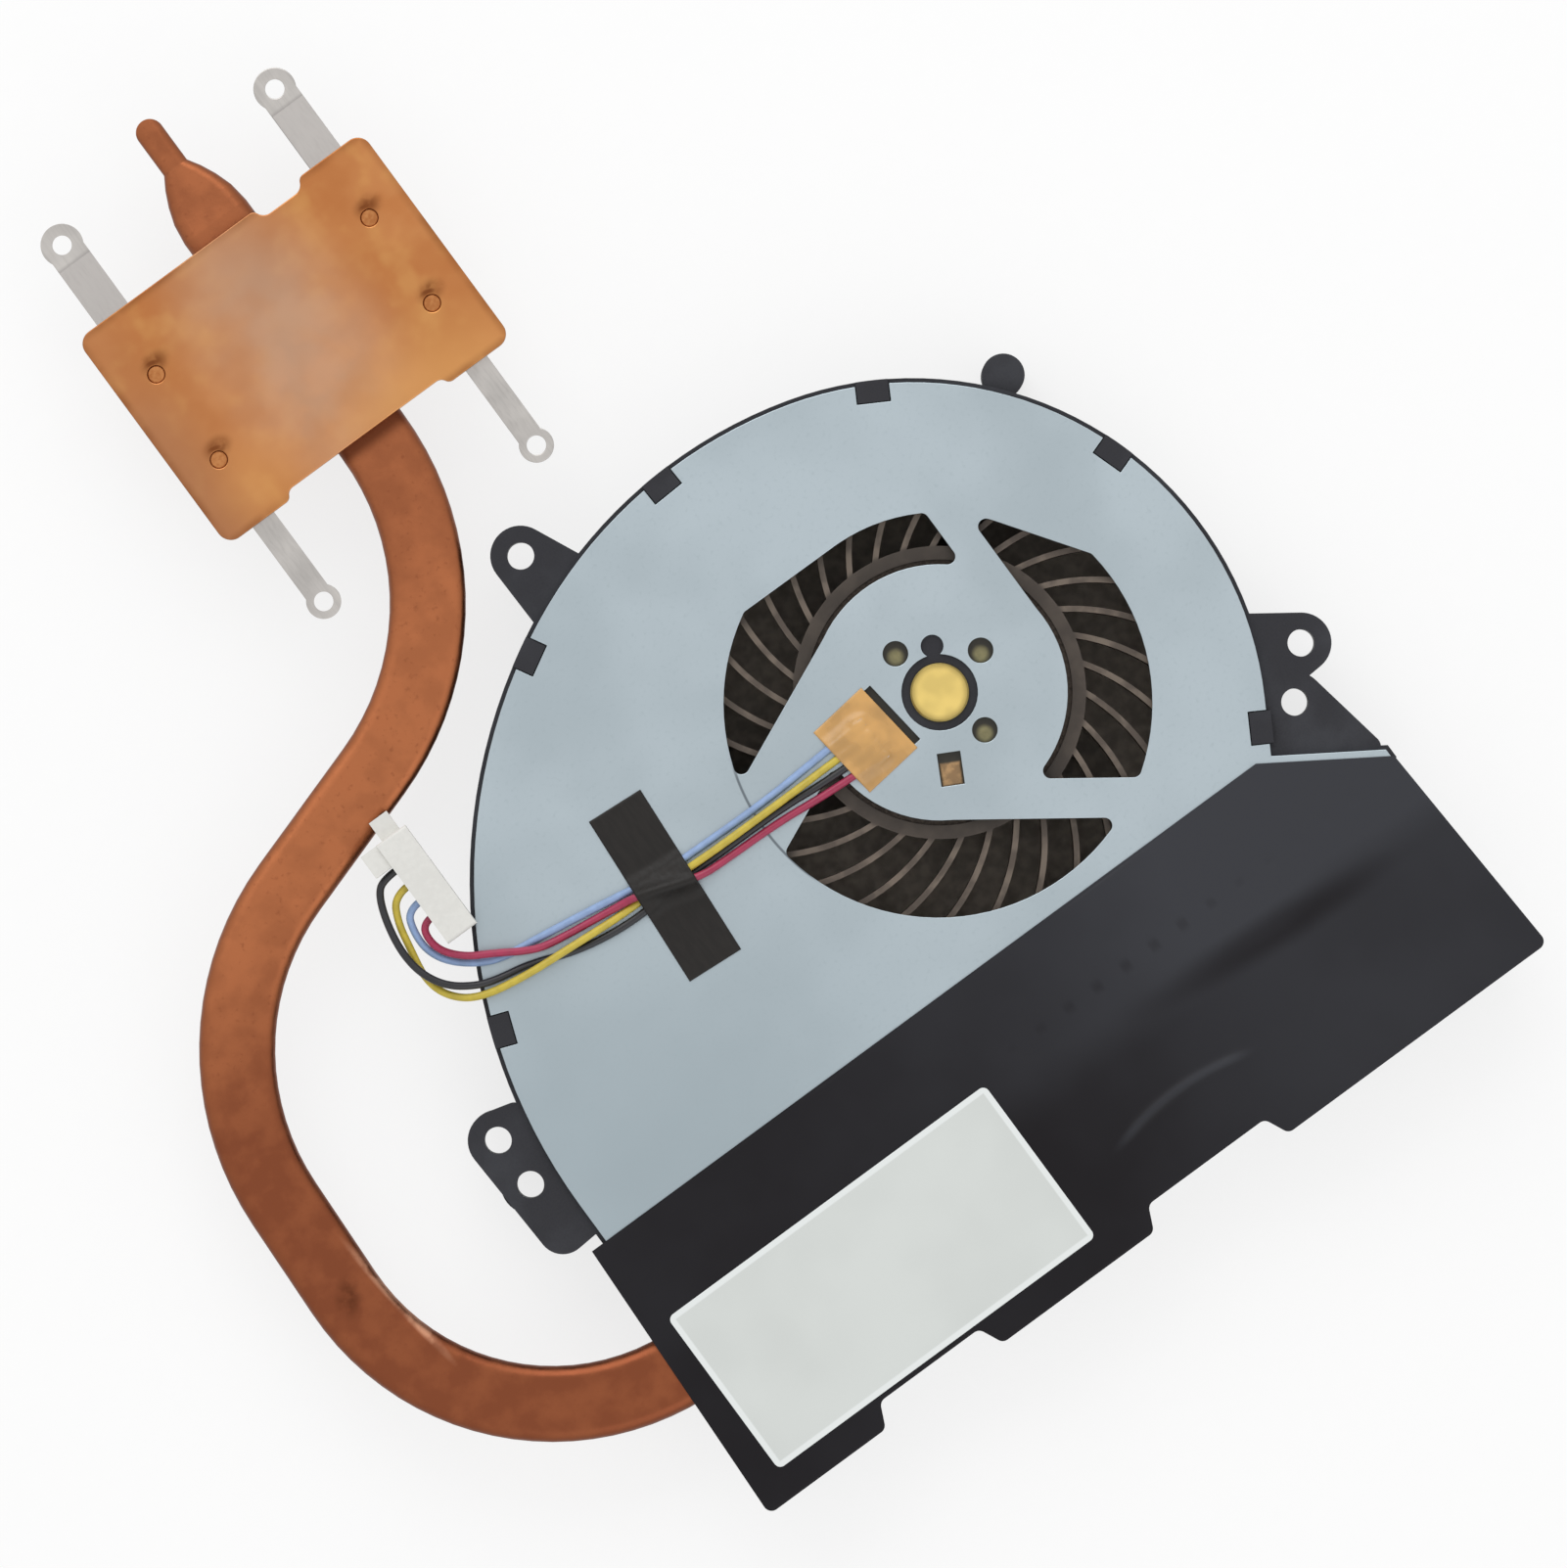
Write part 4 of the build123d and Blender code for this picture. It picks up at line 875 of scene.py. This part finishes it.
def dress(node, material, edge=0.0):
    """Gives a CAD node its finish and, where asked, a broken edge."""
    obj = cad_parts[node]
    for slot in obj.material_slots:
        slot.material = material
    if edge:
        weld = obj.modifiers.new("Weld", "WELD")
        weld.merge_threshold = WELD_DISTANCE
        flat = obj.modifiers.new("Flat faces", "DECIMATE")
        flat.decimate_type = "DISSOLVE"
        flat.angle_limit = math.radians(0.5)
        bevel = obj.modifiers.new("Edge", "BEVEL")
        bevel.width = edge
        bevel.segments = 2
        bevel.limit_method = "ANGLE"
        bevel.angle_limit = math.radians(40)
    return obj


class DressCase(bpy.types.Operator):
    """Finishes the steel cover, the moulded case and the motor's fixed parts."""

    bl_idname = "cooling_fan.dress_case"
    bl_label = "Dress Case"

    def execute(self, context):
        case = context.scene.fan_case
        plastic = case_finish(case, "black_plastic")
        dress("fan_cover", zinc_finish(case), case.edge)
        dress("fan_housing", plastic, case.edge)
        dress("motor_base", plastic)
        dress("housing_floor", case_finish(case, "dusty_plastic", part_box("housing_floor")[1].z))
        dress("bearing_tube", brass_finish(case))
        dress("motor_board", board_finish(case))
        for node, finish in CASE_PLAIN.items():
            dress(node, grained(finish).material)
        return {"FINISHED"}


class DressRotor(bpy.types.Operator):
    """Finishes the impeller and what turns with it."""

    bl_idname = "cooling_fan.dress_rotor"
    bl_label = "Dress Rotor"

    def execute(self, context):
        dress("impeller", impeller_finish(context.scene.fan_rotor))
        for node, finish in ROTOR_PLAIN.items():
            dress(node, grained(finish).material)
        return {"FINISHED"}


class DressCooler(bpy.types.Operator):
    """Finishes the heat pipe, cold plate, springs, rivets and fins."""

    bl_idname = "cooling_fan.dress_cooler"
    bl_label = "Dress Cooler"

    def execute(self, context):
        cooler = context.scene.fan_cooler
        edge = context.scene.fan_case.edge
        rivet_dark = shade(cooler.plate_red, 0.85)
        rivet = Grain("copper_rivet", cooler.plate, rivet_dark, 0.0004, (0.32, 0.46), 0.00001)
        fin = Grain("fin_aluminium", cooler.fin, shade(cooler.fin, 0.7), 0.0004, (0.3, 0.45), 0.000006)
        spring = spring_finish(cooler)
        dress("heat_pipe", pipe_finish(cooler))
        dress("cold_plate", plate_finish(cooler), PLATE_EDGE_RATIO * edge)
        dress("spring_rivets", grained(rivet).material, edge)
        dress("spring_strip_left", spring, edge)
        dress("spring_strip_right", spring, edge)
        dress("fin_stack", grained(fin).material)
        return {"FINISHED"}


def add_object(name, data):
    """A new object in the scene."""
    obj = bpy.data.objects.new(name, data)
    bpy.context.scene.collection.objects.link(obj)
    return obj


def stand_for(obj, node, material):
    """Puts a made piece in the place of a fixed CAD node, with its finish."""
    obj.data.materials.append(material)
    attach(obj, "frame")
    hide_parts(node)


def wire_points(name):
    """A wire's route in the object's frame."""
    return [Vector((x, y, COVER_TOP + height)) for x, y, height in WIRE_ROUTES[name]]


def wire_curve(name, diameter):
    """A round wire along the smooth line of its route."""
    data = bpy.data.curves.new("wire_" + name, "CURVE")
    data.dimensions = "3D"
    data.bevel_depth = diameter / 2
    data.bevel_resolution = 4
    data.resolution_u = 10
    data.use_fill_caps = True
    points = wire_points(name)
    spline = data.splines.new("NURBS")
    spline.points.add(len(points) - 1)
    for point, place in zip(spline.points, points):
        point.co = (*place, 1.0)
    spline.order_u = 3
    spline.use_endpoint_u = True
    return add_object("wire_" + name, data)


class RunWires(bpy.types.Operator):
    """Runs the four wires from the board to the connector and finishes the connector."""

    bl_idname = "cooling_fan.run_wires"
    bl_label = "Run Wires"

    def execute(self, context):
        wires = context.scene.fan_wires
        nylon_dark = shade(wires.nylon, 0.95)
        nylon = Grain("nylon", wires.nylon, nylon_dark, 0.0005, (0.38, 0.5), 0.00001, metallic=0.0)
        housing = dress("connector_housing", grained(nylon).material, context.scene.fan_case.edge)
        plug = [housing, dress("connector_terminals", grained(TIN).material)]
        for name in WIRE_ROUTES:
            wire = wire_curve(name, wires.diameter)
            stand_for(wire, "fan_wire_" + name, wire_finish(name, getattr(wires, name)))
        return {"FINISHED"}


def wire_tree():
    """The surfaces of the wires and their solder joints, for laying films over them."""
    graph = bpy.context.evaluated_depsgraph_get()
    under = [bpy.data.objects["wire_" + name] for name in WIRE_ROUTES] + [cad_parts["solder_joints"]]
    points, faces = [], []
    for obj in under:
        mesh = bpy.data.meshes.new_from_object(obj.evaluated_get(graph))
        first = len(points)
        points += [vertex.co.copy() for vertex in mesh.vertices]
        faces += [[first + corner for corner in face.vertices] for face in mesh.polygons]
        bpy.data.meshes.remove(mesh)
    return BVHTree.FromPolygons(points, faces)


def heights_under(place_x, place_y):
    """How far the wires and joints stand above the cover at each point of a grid."""
    tree = wire_tree()
    down = Vector((0.0, 0.0, -1.0))
    heights = np.zeros_like(place_x)
    for spot in np.ndindex(heights.shape):
        hit = tree.ray_cast(Vector((place_x[spot], place_y[spot], COVER_TOP + RAY_HEIGHT)), down)[0]
        heights[spot] = hit.z - COVER_TOP if hit else 0.0
    return heights


def drape(name, laid, film):
    """A film laid over the wires: taut from high point to high point, stuck to the cover elsewhere."""
    across, along = (np.linspace(-side / 2, side / 2, round(side / film.step) + 1) for side in laid.size)
    grid_u, grid_v = np.meshgrid(across, along)
    cosine, sine = math.cos(laid.turn), math.sin(laid.turn)
    place_x = laid.centre[0] + grid_u * cosine - grid_v * sine
    place_y = laid.centre[1] + grid_u * sine + grid_v * cosine
    under = heights_under(place_x, place_y)
    height = under.copy()
    sag = film.pull * film.step**2 / 4
    for _ in range(DRAPE_ROUNDS):
        ring = np.pad(height, 1, mode="edge")
        mean = (ring[:-2, 1:-1] + ring[2:, 1:-1] + ring[1:-1, :-2] + ring[1:-1, 2:]) / 4
        height = np.maximum(under, mean - sag)
    points = np.stack([place_x, place_y, COVER_TOP + height + FILM_LIFT], axis=-1).reshape(-1, 3)
    number = np.arange(height.size).reshape(height.shape)
    faces = np.stack([number[:-1, :-1], number[:-1, 1:], number[1:, 1:], number[1:, :-1]], axis=-1)
    mesh = bpy.data.meshes.new(name)
    mesh.from_pydata(points.tolist(), [], faces.reshape(-1, 4).tolist())
    mesh.shade_smooth()
    obj = add_object(name, mesh)
    solid = obj.modifiers.new("Thickness", "SOLIDIFY")
    solid.thickness = film.thickness
    solid.offset = 1.0
    return obj


def ramp(value, low, high):
    """0 below the low end, 1 above the high end and smooth between."""
    share = np.clip((value - low) / (high - low), 0.0, 1.0)
    return share * share * (3.0 - 2.0 * share)


def ridge(away, half_width):
    """1 on a line and falling off smoothly beside it."""
    return np.exp(-((away / half_width) ** 2))


def film_relief(x, y, film):
    """Height of the shroud film over its flat shape: dents, the sunk band, the crease and slack."""
    beat = (0.5 + 0.5 * np.cos(2 * math.pi * (x - DENT_START) / DENT_SPACING)) ** 3
    dents = -film.dent * beat * ridge(y - DENT_LINE, DENT_HALF) * ramp(x, *DENT_FADE)
    middle, half, turn = band_line()
    along = (x - middle.x) * math.cos(turn) + (y - middle.y) * math.sin(turn)
    across = (y - middle.y) * math.cos(turn) - (x - middle.x) * math.sin(turn)
    inside = ramp(-abs(along), -half - BAND_OVERRUN, BAND_INSET - half)
    sunk = -film.sag * ridge(across, BAND_HALF) * inside
    from_x, from_y = x - CREASE_CENTRE[0], y - CREASE_CENTRE[1]
    angle = np.degrees(np.arctan2(from_y, from_x))
    first, last = CREASE_ENDS
    ends = ramp(angle, first, first + CREASE_FADE) * ramp(-angle, -last, CREASE_FADE - last)
    fold = film.crease * ridge(np.hypot(from_x, from_y) - CREASE_RADIUS, CREASE_HALF) * ends
    waves = [np.sin(x / wide + y / long + start) for wide, long, start in SLACK_WAVES]
    slack = film.slack * sum(waves) / len(waves)
    low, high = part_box("blank_label")
    off = np.maximum(np.maximum(low.x - x, x - high.x), np.maximum(low.y - y, y - high.y))
    return np.maximum(dents + sunk + fold + slack, -film.sag) * ramp(off, 0.0, LABEL_CLEAR)


def inside_outline(x, y, outline, clear):
    """True for the points that lie inside a closed outline and clear of its edges."""
    inside = np.zeros(x.shape, bool)
    near = np.zeros(x.shape, bool)
    for (x0, y0), (x1, y1) in zip(outline, outline[1:] + outline[:1]):
        run, rise = x1 - x0, y1 - y0
        if rise:
            inside ^= ((y0 > y) != (y1 > y)) & (x < x0 + (y - y0) * run / rise)
        share = np.clip(((x - x0) * run + (y - y0) * rise) / (run**2 + rise**2), 0.0, 1.0)
        near |= np.hypot(x - x0 - share * run, y - y0 - share * rise) < clear
    return inside & ~near


def creased_film(film):
    """The shroud's film: its CAD shape with a finer top that shows what it lies on."""
    low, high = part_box("shroud_tape")
    shape = bmesh.new()
    shape.from_mesh(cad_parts["shroud_tape"].data)
    bmesh.ops.remove_doubles(shape, verts=shape.verts, dist=WELD_DISTANCE)
    shape.normal_update()
    top = [face for face in shape.faces
           if face.normal.z > UPWARD and face.verts[0].co.z > high.z - TOP_TOLERANCE]
    flat = bmesh.ops.dissolve_faces(shape, faces=top)["region"][0]
    rim = list(flat.verts)
    outline = [(vert.co.x, vert.co.y) for vert in rim]
    shape.faces.remove(flat)
    grid_x, grid_y = np.meshgrid(np.arange(low.x, high.x, film.grid), np.arange(low.y, high.y, film.grid))
    keep = inside_outline(grid_x, grid_y, outline, film.grid / 2)
    grid_x, grid_y = grid_x[keep], grid_y[keep]
    heights = high.z + film_relief(grid_x, grid_y, film)
    plan = [Vector(point) for point in outline] + [Vector(point) for point in zip(grid_x, grid_y)]
    _, _, triangles, sources, _, _ = delaunay_2d_cdt(plan, [], [list(range(len(rim)))], 1, SAME_POINT)
    corners = rim + [shape.verts.new(point) for point in zip(grid_x, grid_y, heights)]
    for triangle in triangles:
        shape.faces.new([corners[sources[number][0]] for number in triangle]).smooth = True
    mesh = bpy.data.meshes.new("shroud_film")
    shape.to_mesh(mesh)
    shape.free()
    return add_object("shroud_film", mesh)


class LayFilms(bpy.types.Operator):
    """Lays the shroud film, the label, the strip over the wires and the amber patch."""

    bl_idname = "cooling_fan.lay_films"
    bl_label = "Lay Films"

    def execute(self, context):
        film = context.scene.fan_films
        dress("blank_label", label_finish(film))
        stand_for(creased_film(film), "shroud_tape", shroud_finish(film))
        stand_for(drape("wire_strip", WIRE_STRIP, film), "wire_tape", strip_finish(film))
        stand_for(drape("amber_patch", AMBER_PATCH, film), "solder_tape", amber_finish(film))
        return {"FINISHED"}


def seen_rays(nodes, links):
    """1 for rays from the camera and those that reflections and clear things send on, else 0."""
    path = nodes.new("ShaderNodeLightPath")
    share = path.outputs["Is Camera Ray"]
    for ray in ("Is Glossy Ray", "Is Transmission Ray"):
        either = nodes.new("ShaderNodeMath")
        either.operation = "MAXIMUM"
        links.new(share, either.inputs[0])
        links.new(path.outputs[ray], either.inputs[1])
        share = either.outputs["Value"]
    return share


def floor_finish(stage):
    """Pale paper that keeps the object's shadow and otherwise shows as plain white."""
    floor_dark = shade(stage.floor, 0.985)
    paper = Grain("floor_paper", stage.floor, floor_dark, 0.002, (0.6, 0.75), 0.00001, metallic=0.0)
    look = grained(paper, Specular_IOR_Level=0.1)
    plain = look.node("ShaderNodeEmission", {"Color": WHITE, "Strength": 1.0})
    share = look.times(seen_rays(look.nodes, look.links), stage.glow)
    inputs = {"Fac": share, 1: look.shader.outputs["BSDF"], 2: plain.outputs["Emission"]}
    mixed = look.node("ShaderNodeMixShader", inputs)
    look.links.new(mixed.outputs["Shader"], look.nodes["Material Output"].inputs["Surface"])
    return look.material


def lay_floor(stage):
    """A square floor just under the object."""
    half = stage.floor_size / 2
    level = cad_box[0][2] - FLOOR_CLEAR
    corners = [(-half, -half, level), (half, -half, level), (half, half, level), (-half, half, level)]
    mesh = bpy.data.meshes.new("floor")
    mesh.from_pydata(corners, [], [(0, 1, 2, 3)])
    mesh.materials.append(floor_finish(stage))
    floor = add_object("floor", mesh)


def white_world(sky):
    """Even light from all round; the background is plain white to the camera and in reflections."""
    world = bpy.data.worlds.new("white_room")
    world.use_nodes = True
    nodes, links = world.node_tree.nodes, world.node_tree.links
    light = nodes["Background"]
    light.inputs["Color"].default_value = WHITE
    light.inputs["Strength"].default_value = sky
    plain = nodes.new("ShaderNodeBackground")
    plain.inputs["Color"].default_value = WHITE
    mixed = nodes.new("ShaderNodeMixShader")
    links.new(seen_rays(nodes, links), mixed.inputs["Fac"])
    links.new(light.outputs["Background"], mixed.inputs[1])
    links.new(plain.outputs["Background"], mixed.inputs[2])
    links.new(mixed.outputs["Shader"], nodes["World Output"].inputs["Surface"])
    return world


def add_lamp(name, stage, place, power):
    """A soft square lamp, placed from the picture's middle and aimed at it."""
    data = bpy.data.lights.new(name, "AREA")
    data.energy = power
    data.size = stage.lamp_size
    offset = Matrix.Rotation(stage.turn, 3, "Z") @ Vector(place)
    obj = add_object(name, data)
    obj.location = Vector(stage.centre) + offset
    obj.rotation_euler = (-offset).to_track_quat("-Z", "Y").to_euler()


def overhead_camera(stage):
    """A camera straight above the picture's middle, turned with the picture."""
    data = bpy.data.cameras.new("camera")
    data.sensor_fit = "HORIZONTAL"
    data.lens = data.sensor_width * stage.distance / stage.width
    obj = add_object("camera", data)
    obj.location = Vector(stage.centre) + Vector((0.0, 0.0, stage.distance))
    obj.rotation_euler = (0.0, 0.0, stage.turn)
    return obj


class SetStage(bpy.types.Operator):
    """Sets the pale floor, the lamps, the white surroundings and the camera."""

    bl_idname = "cooling_fan.set_stage"
    bl_label = "Set Stage"

    def execute(self, context):
        scene = context.scene
        stage = scene.fan_stage
        lay_floor(stage)
        scene.world = white_world(stage.sky)
        add_lamp("key_lamp", stage, stage.key_place, stage.key_power)
        add_lamp("fill_lamp", stage, stage.fill_place, stage.fill_power)
        scene.camera = overhead_camera(stage)
        scene.view_settings.view_transform = "Standard"
        return {"FINISHED"}


SETTINGS = {
    "fan_case": CaseSettings,
    "fan_rotor": RotorSettings,
    "fan_cooler": CoolerSettings,
    "fan_wires": WireSettings,
    "fan_films": FilmSettings,
    "fan_stage": StageSettings,
}
OPERATORS = (DressCase, DressRotor, DressCooler, RunWires, LayFilms, SetStage)


class FanPanel(bpy.types.Panel):
    """Settings and steps of the cooling fan."""

    bl_idname = "VIEW3D_PT_cooling_fan"
    bl_label = "Cooling Fan"
    bl_space_type = "VIEW_3D"
    bl_region_type = "UI"
    bl_category = "Cooling Fan"

    def draw(self, context):
        for name, group in SETTINGS.items():
            box = self.layout.box()
            for key in group.__annotations__:
                box.prop(getattr(context.scene, name), key)
        for operator in OPERATORS:
            self.layout.operator(operator.bl_idname)


def register():
    """Adds the settings, the operators and the panel."""
    for name, group in SETTINGS.items():
        bpy.utils.register_class(group)
        setattr(bpy.types.Scene, name, PointerProperty(type=group))
    for operator in OPERATORS:
        bpy.utils.register_class(operator)
    bpy.utils.register_class(FanPanel)


def unregister():
    """Takes out what register adds."""
    bpy.utils.unregister_class(FanPanel)
    for operator in reversed(OPERATORS):
        bpy.utils.unregister_class(operator)
    for name, group in reversed(SETTINGS.items()):
        delattr(bpy.types.Scene, name)
        bpy.utils.unregister_class(group)


def main():
    """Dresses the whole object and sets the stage."""
    register()
    bpy.ops.cooling_fan.dress_case()
    bpy.ops.cooling_fan.dress_rotor()
    bpy.ops.cooling_fan.dress_cooler()
    bpy.ops.cooling_fan.run_wires()
    bpy.ops.cooling_fan.lay_films()
    bpy.ops.cooling_fan.set_stage()


if __name__ == "__main__":
    main()
